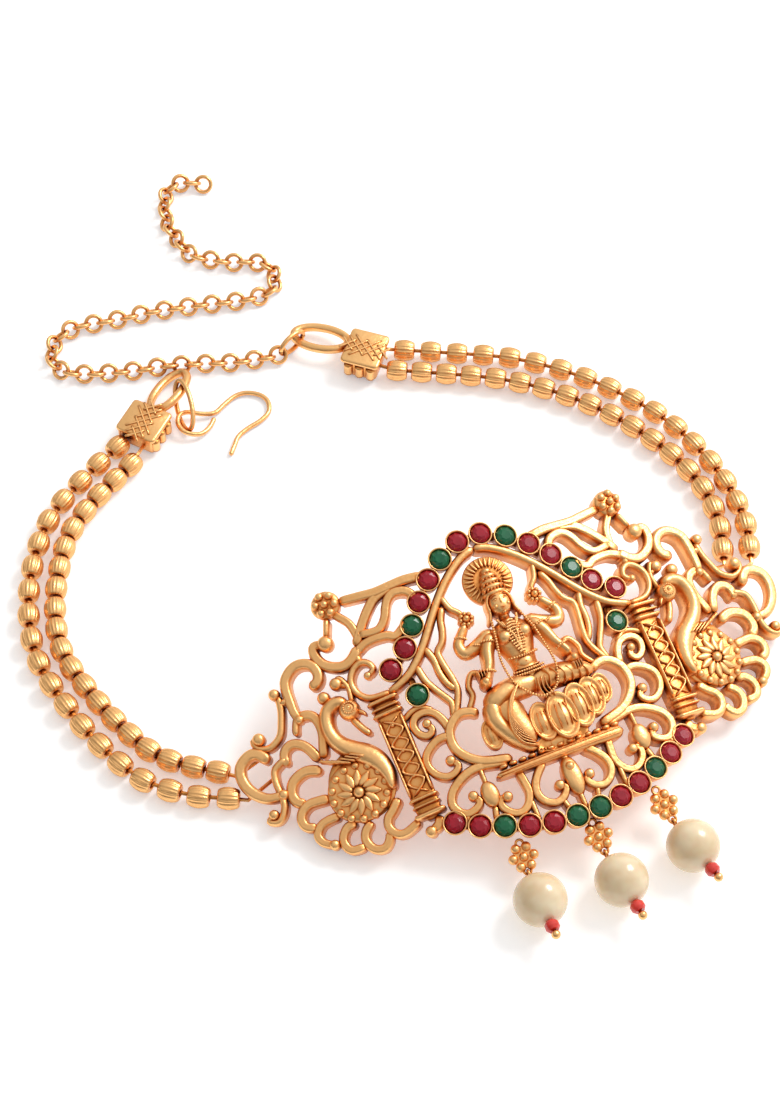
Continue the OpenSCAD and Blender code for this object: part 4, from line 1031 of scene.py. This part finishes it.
@dataclass
class Goddess:
    """The seated figure with her halo, crown, garlands, hands and flowers."""

    shop: Workshop
    body: tuple[tuple[tuple[float, float, float, float], ...], ...] = (
        ((0, 15.2, 1.5, 1.3), (0, 14.2, 1.7, 1.5), (0, 13.2, 2.8, 1.4)),
        ((0, 13.9, 4.0, 1.1), (0, 12.9, 6.8, 1.8), (0, 11.4, 6.9, 2.2), (0, 9.6, 6.0, 2.3), (0, 7.6, 4.6, 2.0),
         (0, 5.6, 4.1, 1.9), (0, 3.6, 5.8, 1.9), (0, 2.2, 6.0, 1.6)),
        ((-1, 3.2, 4, 2.0), (3, 3, 4, 2.5), (6.4, 2.6, 3.4, 2.5), (9.4, 1.9, 2.2, 1.7)),
        ((1, 3.2, 4, 2.0), (-3, 3.2, 4, 2.6), (-6, 2.6, 3.8, 2.8), (-7.8, 1.2, 3.0, 2.4)),
        ((-6.8, 2.8, 3.2, 2.6), (-7.4, -0.2, 3.2, 2.5), (-6.2, -3.0, 3, 2.2), (-4.6, -5.0, 2.6, 1.8),
         (-3.2, -6.4, 2.2, 1.4)))
    arms: tuple[tuple[tuple[float, float, float, float], ...], ...] = (
        ((2.6, 12.6, 2.6, 1.8), (5.2, 11.4, 2.3, 1.5), (7.5, 10.9, 2.1, 1.3), (8.0, 12.4, 1.8, 1.3),
         (6.9, 13.9, 1.6, 1.3), (5.9, 15.0, 1.4, 1.4)),
        ((3.0, 12.3, 2.8, 2.2), (4.5, 10, 2.4, 2.5), (5.2, 7.8, 2.1, 2.7), (6.1, 6.1, 1.8, 2.9),
         (6.6, 4.8, 1.6, 2.9)))
    crown: float = 20.2
    flower: tuple[float, float] = (5.5, 15.6)

    def build(self) -> None:
        """Builds the figure, her halo and her jewels."""
        work = Sketch()
        for rows in self.body:
            work.limb(rows, 20)
        for side in SIDES:
            for rows in self.arms:
                work.limb([(side * s, t, w, f) for s, t, w, f in rows], 14)
        self.chest(work)
        self.hands(work)
        self.head(work)
        self.cloth(work)
        disc = ((1, 0), (1, 0.7), (0.95, 1.0), (0.5, 1.0), (0.05, 1.0))
        work.dome((0, self.crown), (3.9, 3.8), 0.35, 1.9, 48, disc)
        work.piece("goddess", self.shop.carved)
        self.halo()
        self.jewels()

    def chest(self, work: Sketch) -> None:
        """Adds the chest and the belly.

        Args:
            work: the sketch that they go into.
        """
        for side in SIDES:
            work.dome((side * 1.5, 10.7), (1.4, 1.35), 2.95, 0.4, 20)
        work.dome((0, 6.4), (1.7, 1.6), 2.1, 0.4, 18)
        work.dome((0, 6.2), (0.22, 0.22), 2.3, -1.4, 10)

    def hands(self, work: Sketch) -> None:
        """Adds the front hands with their fingers and the flowers of the rear hands.

        Args:
            work: the sketch that they go into.
        """
        palm, lowered = (-6.7, 5.3), (6.7, 4.2)
        work.dome(palm, (0.95, 1.05), 3.35, -1.2, 16)
        work.dome(lowered, (0.85, 0.95), 3.2, -1.2, 16)
        for k in range(4):
            up = np.array([[palm[0] - 0.6 + 0.4 * k, palm[1] + 0.7],
                           [palm[0] - 0.66 + 0.44 * k, palm[1] + 2.2 - 0.15 * abs(k - 1)]])
            down = np.array([[lowered[0] - 0.5 + 0.35 * k, lowered[1] - 0.5],
                             [lowered[0] - 0.55 + 0.4 * k, lowered[1] - 2.1 + 0.12 * abs(k - 1)]])
            for line in (up, down):
                work.sweep(spread(line, 8), 0.4, 3.25, -2.6)
        for side in SIDES:
            s, t = side * self.flower[0], self.flower[1]
            for a in turns(8):
                work.dome((s + 0.85 * math.cos(a), t + 0.85 * math.sin(a)), (0.5, 0.5), 1.45, 0.6, 10)
            work.dome((s, t), (0.65, 0.65), 2.0, 1.4, 16)

    def head(self, work: Sketch) -> None:
        """Adds a calm, plain face, the hair, the ears' rings and the crown.

        Args:
            work: the sketch that they go into.
        """
        rows = ((1.02, 0.0), (1.0, 0.3), (0.93, 0.58), (0.78, 0.8), (0.55, 0.94), (0.28, 0.99), (0.05, 1.0))
        work.dome((0, 16.0), (1.75, 2.15), 2.5, 1.6, 32, rows, 0.0)
        nose = straight([0.0, 16.7], [0.0, 15.6], 8)
        work.sweep(nose, np.linspace(0.3, 0.62, 8), np.linspace(2.62, 3.05, 8), -1.6)
        for side in SIDES:
            work.dome((side * 0.74, 16.42), (0.46, 0.27), 2.66, -1.6, 16)
            lid = smooth([[side * 0.26, 16.5], [side * 0.74, 16.68], [side * 1.2, 16.46]], 4)
            work.sweep(lid, 0.2, np.linspace(2.68, 2.42, len(lid)), -1.6)
            brow = smooth([[side * 0.2, 17.02], [side * 0.75, 17.22], [side * 1.35, 16.9]], 4)
            work.sweep(brow, 0.2, np.linspace(2.64, 2.2, len(brow)), -1.6)
            work.dome((side * 0.95, 15.5), (0.6, 0.6), 2.5, -1.0, 14)
            work.dome((side * 1.9, 15.5), (0.4, 0.62), 1.7, 0.5, 14)
            hair = smooth([[side * 0.1, 18.0], [side * 1.2, 17.6], [side * 1.85, 16.5], [side * 1.95, 14.9],
                           [side * 2.6, 13.4]], 4)
            work.sweep(hair, 0.85, np.linspace(2.1, 1.5, len(hair)), 0.6)
        for t, half in ((15.1, 0.52), (14.84, 0.42)):
            lip = smooth([[-half, t + 0.06], [0, t], [half, t + 0.06]], 4)
            work.sweep(lip, 0.26, [2.5, 2.6, 2.68, 2.72, 2.74, 2.72, 2.68, 2.6, 2.5], -1.6)
        work.dome((0, 14.35), (0.5, 0.42), 2.4, -1.0, 14)
        for t, radius, top in ((17.8, 2.05, 2.3), (18.7, 1.95, 2.4), (19.6, 1.7, 2.35), (20.5, 1.35, 2.2),
                               (21.3, 0.9, 2.0)):
            work.dome((0, t), (radius, 0.78), top, 1.0, 28)
        first = 18.25
        for t, count in ((first, 7), (19.15, 6), (20.05, 5), (20.9, 3)):
            for k in range(count):
                work.dome((0.52 * (k - (count - 1) / 2), t), (0.27, 0.3), 2.62 - 0.12 * (t - first), -1.6, 10)

    def cloth(self, work: Sketch) -> None:
        """Adds the folds over the lap and legs, the belt, the toes and the sash.

        Args:
            work: the sketch that they go into.
        """
        work.limb([(-4.6, 2.9, 4.6, 2.3), (-5.2, 0.6, 5.2, 2.2), (-4.6, -2.2, 4.6, 1.8),
                   (-3.2, -5.4, 3.4, 1.3)], 18)
        for k in range(8):
            fold = smooth([[-2.2 - 0.2 * k, 3.6 - 0.2 * k], [-4.4 - 0.35 * k + 0.02 * k * k, 1.7 - 0.5 * k],
                           [-5.4 + 0.016 * k, -0.6 - 0.62 * k], [-4.6 + 0.22 * k, -3.4 - 0.42 * k]], 5)
            high = np.interp(np.arange(len(fold)), [0, 6, len(fold)], [3.35, 3.45, 2.7])
            work.sweep(fold, 0.55, high - 0.07 * k, 0.8)
        for k in range(6):
            fold = smooth([[1.4 + 1.15 * k, 4.4 - 0.28 * k], [2.1 + 1.15 * k, 2.9 - 0.2 * k],
                           [1.7 + 1.25 * k, 1.2 - 0.05 * k]], 5)
            work.sweep(fold, 0.36, 3.0 - 0.1 * k, 0.4)
        for t in (4.9, 5.4):
            belt = smooth([[-2.1, t + 0.15], [0, t - 0.15], [2.1, t + 0.15]], 6)
            bow = 2.25 - 0.5 * (np.abs(belt[:, 0]) / 2.1) ** 2
            work.sweep(belt, 0.42, bow, 0.2)
        for k in range(5):
            toe = np.array([[-3.4 + 0.5 * k, -6.5 - 0.06 * k], [-3.3 + 0.5 * k, -7.25]])
            work.sweep(spread(toe, 6), 0.46, 1.3 - 0.08 * k, 0.2)
        for k in range(3):
            sash = smooth([[0.4 + 0.55 * k, 3.4], [0.2 + 0.6 * k, 1.4], [0.7 + 0.7 * k, -0.2]], 5)
            work.sweep(sash, 0.5, np.linspace(2.7, 2.2, len(sash)), 0.4)

    def halo(self) -> None:
        """Sets the rays round the crown."""
        at, way, out = [], [], []
        for a in turns(28):
            s, t = 2.15 * math.cos(a), self.crown + 2.1 * math.sin(a)
            foot, tip = PLATE.point(s, t, 0.4), PLATE.point(1.8 * s, self.crown + 1.8 * (t - self.crown), 0.4)
            at.append(foot)
            way.append(PLATE.normal(s, t))
            out.append(tip - foot)
        ray = petal_shape(1.65, 0.2, 0.42)
        rays = Repeater(Repeat.RAY, self.shop.carved).row("halo_rays", ray, at, way, out)
        settle(rays)

    def jewels(self) -> None:
        """Sets the fine beads of the garlands, the necklace, the armlets and the bangles."""
        at: list[np.ndarray] = []
        lines = [
            ([[-2.3, 13.6], [-3.0, 10.4], [-3.5, 7.0], [-3.1, 3.6], [-1.2, 1.0], [0.6, 0.2], [2.6, 1.2],
              [3.6, 3.8], [3.6, 7.0], [3.0, 10.4], [2.3, 13.6]], 74,
             (1.6, 2.55, 2.2, 2.8, 2.7, 2.6, 2.7, 2.8, 2.2, 2.55, 1.6)),
            ([[-1.5, 13.5], [-1.0, 12.2], [0, 11.6], [1.0, 12.2], [1.5, 13.5]], 20, (1.8, 2.2, 2.4, 2.2, 1.8)),
            ([[-1.1, 12.9], [-0.3, 10.4], [0, 8.0], [0.3, 10.4], [1.1, 12.9]], 40, (2.1, 2.75, 2.5, 2.75, 2.1))]
        for path, count, rise in lines:
            highs = np.interp(np.linspace(0, 1, count), np.linspace(0, 1, len(rise)), rise)
            at.extend(PLATE.point(s, t, h) for (s, t), h in zip(spread(smooth(path, 8), count), highs))
        for row in range(12):
            t, swell = 12.9 - 0.46 * row, math.sin(math.pi * row / 11)
            reach = 0.35 + 0.62 * swell
            at.extend(PLATE.point(reach * k / 3, t - 0.12 * abs(k) / 3, 2.52 + 0.1 * swell)
                      for k in range(-3, 4))
        for t, wide, count in ((7.4, 2.2, 13), (4.6, 2.4, 15), (5.1, 2.3, 14)):
            at.extend(PLATE.point(wide * u, t - 0.25 * (1 - u * u), 2.28 - 0.75 * u * u)
                      for u in np.linspace(-1, 1, count))
        for side in SIDES:
            for s, t, half, h in ((3.9, 11.0, 1.0, 2.45), (5.7, 6.7, 0.85, 2.95), (5.6, 11.2, 0.85, 1.6),
                                  (7.4, 13.2, 0.7, 1.4)):
                for k in range(7):
                    u = (k - 3) / 3
                    at.append(PLATE.point(side * (s + half * u), t + 0.35 * u, h - 0.7 * u * u))
        way = [PLATE.normal(0.0, 0.0)] * len(at)
        jewels = Repeater(Repeat.GRAIN, self.shop.carved).row("garland_grains", grain_shape(0.23), at, way)
        settle(jewels)


@dataclass
class LotusSeat:
    """The seat of petals and the slab under it."""

    shop: Workshop
    petals: tuple[tuple[float, float, float, float, float], ...] = (
        (-8.7, -2.0, 1.5, 2.4, 1.0), (9.3, -1.2, 1.5, 2.4, 1.3), (7.3, -1.9, 1.9, 3.2, 1.6),
        (-1.0, -3.0, 1.9, 3.1, 1.5), (4.9, -2.6, 2.1, 3.6, 1.9), (1.9, -3.2, 2.3, 3.8, 2.1),
        (0.6, -6.3, 4.4, 1.5, 0.9))

    def build(self) -> None:
        """Builds petals with raised rims, and the slab."""
        work = Sketch()
        rim = ((1, 0), (0.99, 0.75), (0.93, 0.92), (0.82, 0.70), (0.66, 0.66), (0.4, 0.92), (0.05, 1.05))
        for s, t, a, b, top in self.petals:
            work.dome((s, t), (a, b), top, 1.7, 28, rim)
            for shift in (-0.36, 0.0, 0.36):
                rib = smooth([[s + shift * a, t - b * 0.55], [s + shift * a * 1.15, t],
                              [s + shift * a * 0.7, t + b * 0.55]], 4)
                work.sweep(rib, 0.22, top * (0.99 if shift else 1.1), 0.0)
        slab = spread(np.array([[-10.6, -8.1], [-9.4, -8.1], [10.0, -8.1]]), 40)
        work.sweep(slab, np.interp(np.arange(40), [0, 8, 39], [0.7, 1.5, 2.1]), 0.9, 2.5, Profile.BAND)
        for t in (-7.75, -8.5):
            line = straight([-10.3, t], [9.7, t], 36)
            work.sweep(line, 0.36, 1.12, -0.2)
        for s, top in ((-2.4, -6.0), (2.4, -5.0)):
            work.sweep(straight([s, top], [s, -8.2], 8), 2.6, 0.4, 2.5, Profile.BAND)
        for k in range(13):
            work.dome((-9 + 1.5 * k, -7.05), (0.72, 0.42), 1.0, 1.2, 12)
        work.piece("lotus_seat", self.shop.carved)


@dataclass
class StoneSettings:
    """The stones in their collets."""

    shop: Workshop
    girdle: float = 1.55
    depth: float = 2.9

    def build(self) -> None:
        """Builds the collets with a node tree, then the stones in their two colours."""
        places = [(side * s, t, red, name.format("l" if side < 0 else "r"))
                  for s, t, red, name in STONES for side in SIDES]
        at = [PLATE.point(s, t, 0.0) for s, t, _, _ in places]
        way = [PLATE.normal(s, t) for s, t, _, _ in places]
        rims = Repeater(Repeat.RIM, self.shop.carved).row("collets", self.collet(), at, way)
        settle(rims)
        for red in (True, False):
            work = Sketch()
            chosen = [k for k, place in enumerate(places) if place[2] is red]
            for k in chosen:
                self.stone(work, at[k], way[k], k)
            finish, slot = (self.shop.ruby, "ruby") if red else (self.shop.emerald, "emerald")
            nodes = ["stone_" + places[k][3] for k in chosen]
            work.piece("rubies" if red else "emeralds", finish, nodes, flat=True)

    def collet(self) -> bpy.types.Object:
        """Builds one collet: a tapered cup with a thin rounded rim, and returns its object."""
        work = Sketch()
        sides = 28
        # Each row: radius, height along the axis, and the height that the carved gold reads, high on the rim's
        # top for a painted highlight and low down the walls and inside for painted shade.
        rows = ((1.33, -self.depth, -1.6), (1.52, -1.9, -1.2), (1.70, -0.7, -0.3), (1.84, 0.1, 0.6),
                (1.85, 0.34, 1.6), (1.79, 0.47, 2.6), (1.68, 0.46, 2.4), (1.56, 0.26, 0.6), (1.5, 0.1, -0.6),
                (1.2, -0.5, -2.0), (0.1, -0.6, -2.0))
        rings = [[np.array([r * math.cos(a), r * math.sin(a), z]) for a in turns(sides)] for r, z, _ in rows]
        work.shell(rings, [[h] * sides for _, _, h in rows])
        return work.raw("collet_shape", None)

    def stone(self, work: Sketch, at: np.ndarray, way: np.ndarray, turn: int) -> None:
        """Adds one cut stone with a table and two rows of facets.

        Args:
            work: the sketch that it goes into.
            at: the middle of its girdle.
            way: where its table looks.
            turn: a number that turns its facets.
        """
        side = unit(np.cross(way, [0.2, 1.0, 0.1]))
        up = np.cross(way, side)
        rings = []
        for share, z, shift in ((0.75, -0.6, 0.0), (0.97, 0.05, 0.0), (0.97, 0.2, 0.0), (0.76, 0.52, 0.5),
                                (0.48, 0.74, 1.0)):
            rings.append([at + way * z + self.girdle * share * (side * math.cos(a) + up * math.sin(a))
                          for a in (2 * math.pi * (j + shift * 0.5) / 8 + 0.37 * turn for j in range(8))])
        work.shell(rings)


@dataclass
class BeadStrands:
    """The four strands of fluted barrel beads."""

    shop: Workshop
    radius: float = 1.78
    half: float = 1.68
    flutes: int = 18

    def build(self) -> None:
        """Sets a fluted barrel on every place of each strand with a node tree."""
        for name, count, points in STRANDS:
            row = spread(smooth(points, 6), count)
            row = np.column_stack([row, np.full(count, self.radius + 0.03)]) - MIDDLE
            way = headings(row)
            beads = Repeater(Repeat.BEAD, self.shop.beads).row("strand_" + name, self.barrel(), list(row),
                                                               list(way))
            settle(beads, ["beads_" + name])

    def barrel(self) -> bpy.types.Object:
        """Builds one fluted barrel bead with a hole, and returns its object."""
        work = Sketch()
        count = self.flutes * 4
        rows = ((0.60, -0.98, 0), (0.95, -1.0, 0), (1.24, -0.99, 0.25), (1.47, -0.82, 0.8), (1.66, -0.5, 1),
                (1.76, -0.15, 1), (1.76, 0.15, 1), (1.66, 0.5, 1), (1.47, 0.82, 0.8), (1.24, 0.99, 0.25),
                (0.95, 1.0, 0), (0.60, 0.98, 0))
        rings = [[np.array([(r - 0.14 * cut * (0.5 - 0.5 * math.cos(self.flutes * a)) ** 0.7) * f(a)
                            for f in (math.cos, math.sin)] + [z * self.half])
                  for a in turns(count)] for r, z, cut in rows]
        work.shell(rings, None, True)
        return work.raw("barrel_shape", None)


@dataclass
class EndCaps:
    """The two block ends where the strands gather, with their oval loops."""

    shop: Workshop
    height: float = 4.6
    corner: float = 0.7

    def build(self) -> None:
        """Builds both caps."""
        for name, at, turn, loop, roll in (("left", (-34.4, 77.5), 40, (8.4, 0.3), -25),
                                           ("right", (4.4, 77.0), 139, (8.2, -1.4), 8)):
            work = Sketch()
            a = math.radians(turn)
            frame = np.array([[math.cos(a), math.sin(a), 0], [-math.sin(a), math.cos(a), 0], [0, 0, 1]])
            base = np.array([at[0], at[1], 0]) - MIDDLE
            self.block(work, base, frame, (2.85, 3.15), 0.25, self.height - 0.85, 0.5)
            self.block(work, base, frame, (3.3, 3.6), self.height - 1.0, self.height - 0.12, 0.35)
            for slant in (-45, 45):
                for k in range(-2, 3):
                    c, s = math.cos(math.radians(slant)), math.sin(math.radians(slant))
                    long = 3.1 - 0.75 * abs(k)
                    line = [np.array([k * 1.5 + u * c * long, u * s * long, self.height - 0.12])
                            for u in np.linspace(-1, 1, 8)]
                    work.tube(np.array([base + p @ frame for p in line]), 0.2, 8)
            for side in SIDES:
                for x in (-1.9, 0.0, 1.9):
                    path = [base + np.array([x, side * 3.0, z]) @ frame for z in np.linspace(0.95, 3.2, 6)]
                    work.tube(np.array(path), 0.8, 14)
            lug = [base + np.array([x, loop[1] * 0.6, 2.3]) @ frame for x in np.linspace(2.4, 3.9, 5)]
            work.tube(np.array(lug), 0.9, 16)
            tilt = np.array([0, math.cos(math.radians(roll)), math.sin(math.radians(roll))])
            centre = np.array([loop[0], loop[1], 2.1])
            along = np.array([1, 0, -0.08])
            oval = [base + (centre + 4.7 * math.cos(b) * along + 2.5 * math.sin(b) * tilt) @ frame
                    for b in turns(56)]
            work.tube(np.array(oval), 0.72, 16, True)
            work.piece("cap_" + name, self.shop.plain, ["end_cap_" + name])

    def block(self, work: Sketch, base: np.ndarray, frame: np.ndarray, half: tuple[float, float], low: float,
              high: float, edge: float) -> None:
        """Adds a block with rounded corners and edges.

        Args:
            work: the sketch that it goes into.
            base: the cap's place on the surface.
            frame: the rows of its turned axes.
            half: half its length and width.
            low: its lower face.
            high: its upper face.
            edge: the rounding of its edges.
        """
        rings = []
        for z, inset in ((low, edge), (low + edge * 0.3, edge * 0.3), (low + edge, 0), (high - edge, 0),
                         (high - edge * 0.3, edge * 0.3), (high, edge)):
            ring = []
            for cx, cy, start in ((1, 1, 0), (-1, 1, 90), (-1, -1, 180), (1, -1, 270)):
                for step in range(5):
                    b = math.radians(start + 22.5 * step)
                    place = [cx * (half[0] - self.corner) + (self.corner - inset) * math.cos(b),
                             cy * (half[1] - self.corner) + (self.corner - inset) * math.sin(b), z]
                    ring.append(base + np.array(place) @ frame)
            rings.append(ring)
        work.shell(rings)


@dataclass
class Fastening:
    """The hook with its ring, and the chain with its ring."""

    shop: Workshop
    wire: float = 0.4
    link_mean: float = 1.33
    link_wire: float = 0.34
    pitch: float = 2.02

    def build(self) -> None:
        """Builds smooth wire for the hook and the two rings."""
        hook = Sketch()
        path = smooth(HOOK, 6) - MIDDLE
        hook.tube(path, self.wire, 14)
        for end in (path[0], path[-1]):
            hook.ball(end + np.array([0, 0, 0.02]), self.wire * 1.02)
        hook.piece("hook_wire", self.shop.plain, ["hook"])
        rings = (("hook_ring", (-26.9, 79.2, 2.45), (-0.12, -0.95, -0.28), (0.64, -0.08, 0.77), 4.3, 1.75),
                 ("chain_ring", (-5.7, 84.4, 2.22), (-0.92, -0.39, 0.0), (0.0, 0.0, 1.0), 2.6, 1.8))
        for name, centre, long, short, a, b in rings:
            work = Sketch()
            line = [np.array(centre) - MIDDLE + a * math.cos(u) * unit(np.array(long))
                    + b * math.sin(u) * np.array(short)
                    for u in turns(48)]
            work.tube(np.array(line), self.wire, 12, True)
            work.piece(name + "_wire", self.shop.plain, [name])
        self.chain()

    def chain(self) -> None:
        """Sets a stout round link on every place of the chain, each turned across the one before it."""
        path = smooth(CHAIN, 6)
        run = run_length(path)
        count = int(run[-1] / self.pitch) + 1
        where = np.arange(count) * self.pitch
        row = np.stack([np.interp(where, run, path[:, k]) for k in range(2)], 1)
        ways = headings(row)
        level = self.link_mean * math.sin(math.radians(45)) + self.link_wire
        at = [np.array([x, y, level + (0.3 if k == 0 else 0)]) - MIDDLE for k, (x, y) in enumerate(row)]
        axes = [np.array([-d[1], d[0], 1.0 if k % 2 == 0 else -1.0]) for k, d in enumerate(ways)]
        ring = Sketch()
        ring.tube(np.array([[self.link_mean * math.cos(u), self.link_mean * math.sin(u), 0]
                            for u in turns(24)]), self.link_wire, 8, True)
        link = ring.raw("link_shape", None)
        links = Repeater(Repeat.LINK, self.shop.plain).row("chain_links", link, at, axes)
        settle(links, ["chain"])


@dataclass
class Studio:
    """The white floor, the soft lights and the camera."""

    turn: float = 23.337
    height: float = 56.265
    distance: float = 400.0
    lens: float = 87.73

    def axes(self) -> tuple[Vector, Vector, Vector]:
        """Returns the picture's right, its up, and the way back to the camera."""
        a, e = math.radians(self.turn), math.radians(self.height)
        return (Vector((math.cos(a), -math.sin(a), 0)),
                Vector((math.sin(a) * math.sin(e), math.cos(a) * math.sin(e), math.cos(e))),
                Vector((-math.sin(a) * math.cos(e), -math.cos(a) * math.cos(e), math.sin(e))))

    def floor(self) -> None:
        """Lays the floor."""
        mesh = bpy.data.meshes.new("floor")
        half, level = 3.0, -0.0002
        corners = [(-half, -half, level), (half, -half, level), (half, half, level), (-half, half, level)]
        mesh.from_pydata(corners, [], [(0, 1, 2, 3)])
        finish = Finish("studio_floor")
        finish.set(Base_Color=(0.93, 0.93, 0.93), Roughness=0.8, Specular_IOR_Level=0.1,
                   Emission_Color=(1.0, 1.0, 1.0), Emission_Strength=0.32)
        mesh.materials.append(finish.material)
        obj = bpy.data.objects.new("floor", mesh)
        bpy.context.scene.collection.objects.link(obj)

    def lights(self) -> None:
        """Sets the room's light and the soft lamps."""
        world = bpy.data.worlds.new("studio")
        world.use_nodes = True
        right, up, back_way = self.axes()
        tree = world.node_tree
        back = tree.nodes["Background"]
        back.inputs["Color"].default_value = (1.0, 1.0, 1.0, 1.0)
        look, lean, span = (tree.nodes.new(kind) for kind in
                            ("ShaderNodeTexCoord", "ShaderNodeVectorMath", "ShaderNodeMapRange"))
        lean.operation = "DOT_PRODUCT"
        lean.inputs[1].default_value = (right * 0.55 + up * 0.75 + back_way * 0.25).normalized()
        for key, value in (("From Min", -0.3), ("From Max", 1.0), ("To Min", 0.22), ("To Max", 1.0)):
            span.inputs[key].default_value = value
        tree.links.new(look.outputs["Generated"], lean.inputs[0])
        tree.links.new(lean.outputs["Value"], span.inputs["Value"])
        tree.links.new(span.outputs["Result"], back.inputs["Strength"])
        bpy.context.scene.world = world
        for name, way, size, power in (("key", right * 0.42 + up * 0.55 + back_way * 0.30, 0.32, 3.0),
                                       ("fill", right * -0.5 + up * 0.1 + back_way * 0.6, 0.6, 0.25)):
            lamp = bpy.data.lights.new(name, "AREA")
            lamp.shape, lamp.size, lamp.energy = "DISK", size, power
            obj = bpy.data.objects.new(name, lamp)
            place = way.normalized() * 0.75
            obj.matrix_world = Matrix.Translation(place) @ place.to_track_quat("Z", "Y").to_matrix().to_4x4()
            bpy.context.scene.collection.objects.link(obj)

    def camera(self) -> None:
        """Stands the camera where the photograph was taken."""
        right, up, back = self.axes()
        data = bpy.data.cameras.new("camera")
        data.lens, data.sensor_width, data.sensor_fit = self.lens, 36.0, "AUTO"
        data.clip_start = 0.01
        obj = bpy.data.objects.new("camera", data)
        place = Vector((8.6, -45.92, 12.0)) - right * 22.33 + up * 21.94 + back * self.distance
        turn = Matrix((right, up, back)).transposed().to_4x4()
        obj.matrix_world = Matrix.Translation(place * MM) @ turn
        bpy.context.scene.collection.objects.link(obj)
        bpy.context.scene.camera = obj

    def build(self) -> None:
        """Sets up the studio."""
        self.floor()
        self.lights()
        self.camera()
        bpy.context.scene.view_settings.view_transform = "Standard"


def dress(nodes: dict[str, bpy.types.Object], shop: Workshop) -> None:
    """Gives the solids that stay their finishes.

    Args:
        nodes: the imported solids.
        shop: the finishes.
    """
    kinds = {"cluster": shop.plain, "pin": shop.plain, "thread": shop.plain, "pearl": shop.pearl,
             "red": shop.coral}
    for name, obj in nodes.items():
        finish = kinds.get(name.split("_")[0])
        if finish is not None:
            for slot in obj.material_slots:
                slot.material = finish
            LOG.info("%s keeps its solid", name)


def main() -> None:
    """Builds the armlet's pieces in order round the frame."""
    logging.basicConfig(level=logging.INFO, format="%(message)s")
    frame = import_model()
    shop = Workshop()
    dress(frame["nodes"], shop)
    for part in (Scrollwork(shop), Pillars(shop), Peacocks(shop), Goddess(shop), LotusSeat(shop),
                 StoneSettings(shop), BeadStrands(shop), EndCaps(shop), Fastening(shop), Studio()):
        part.build()


if __name__ == "__main__":
    main()
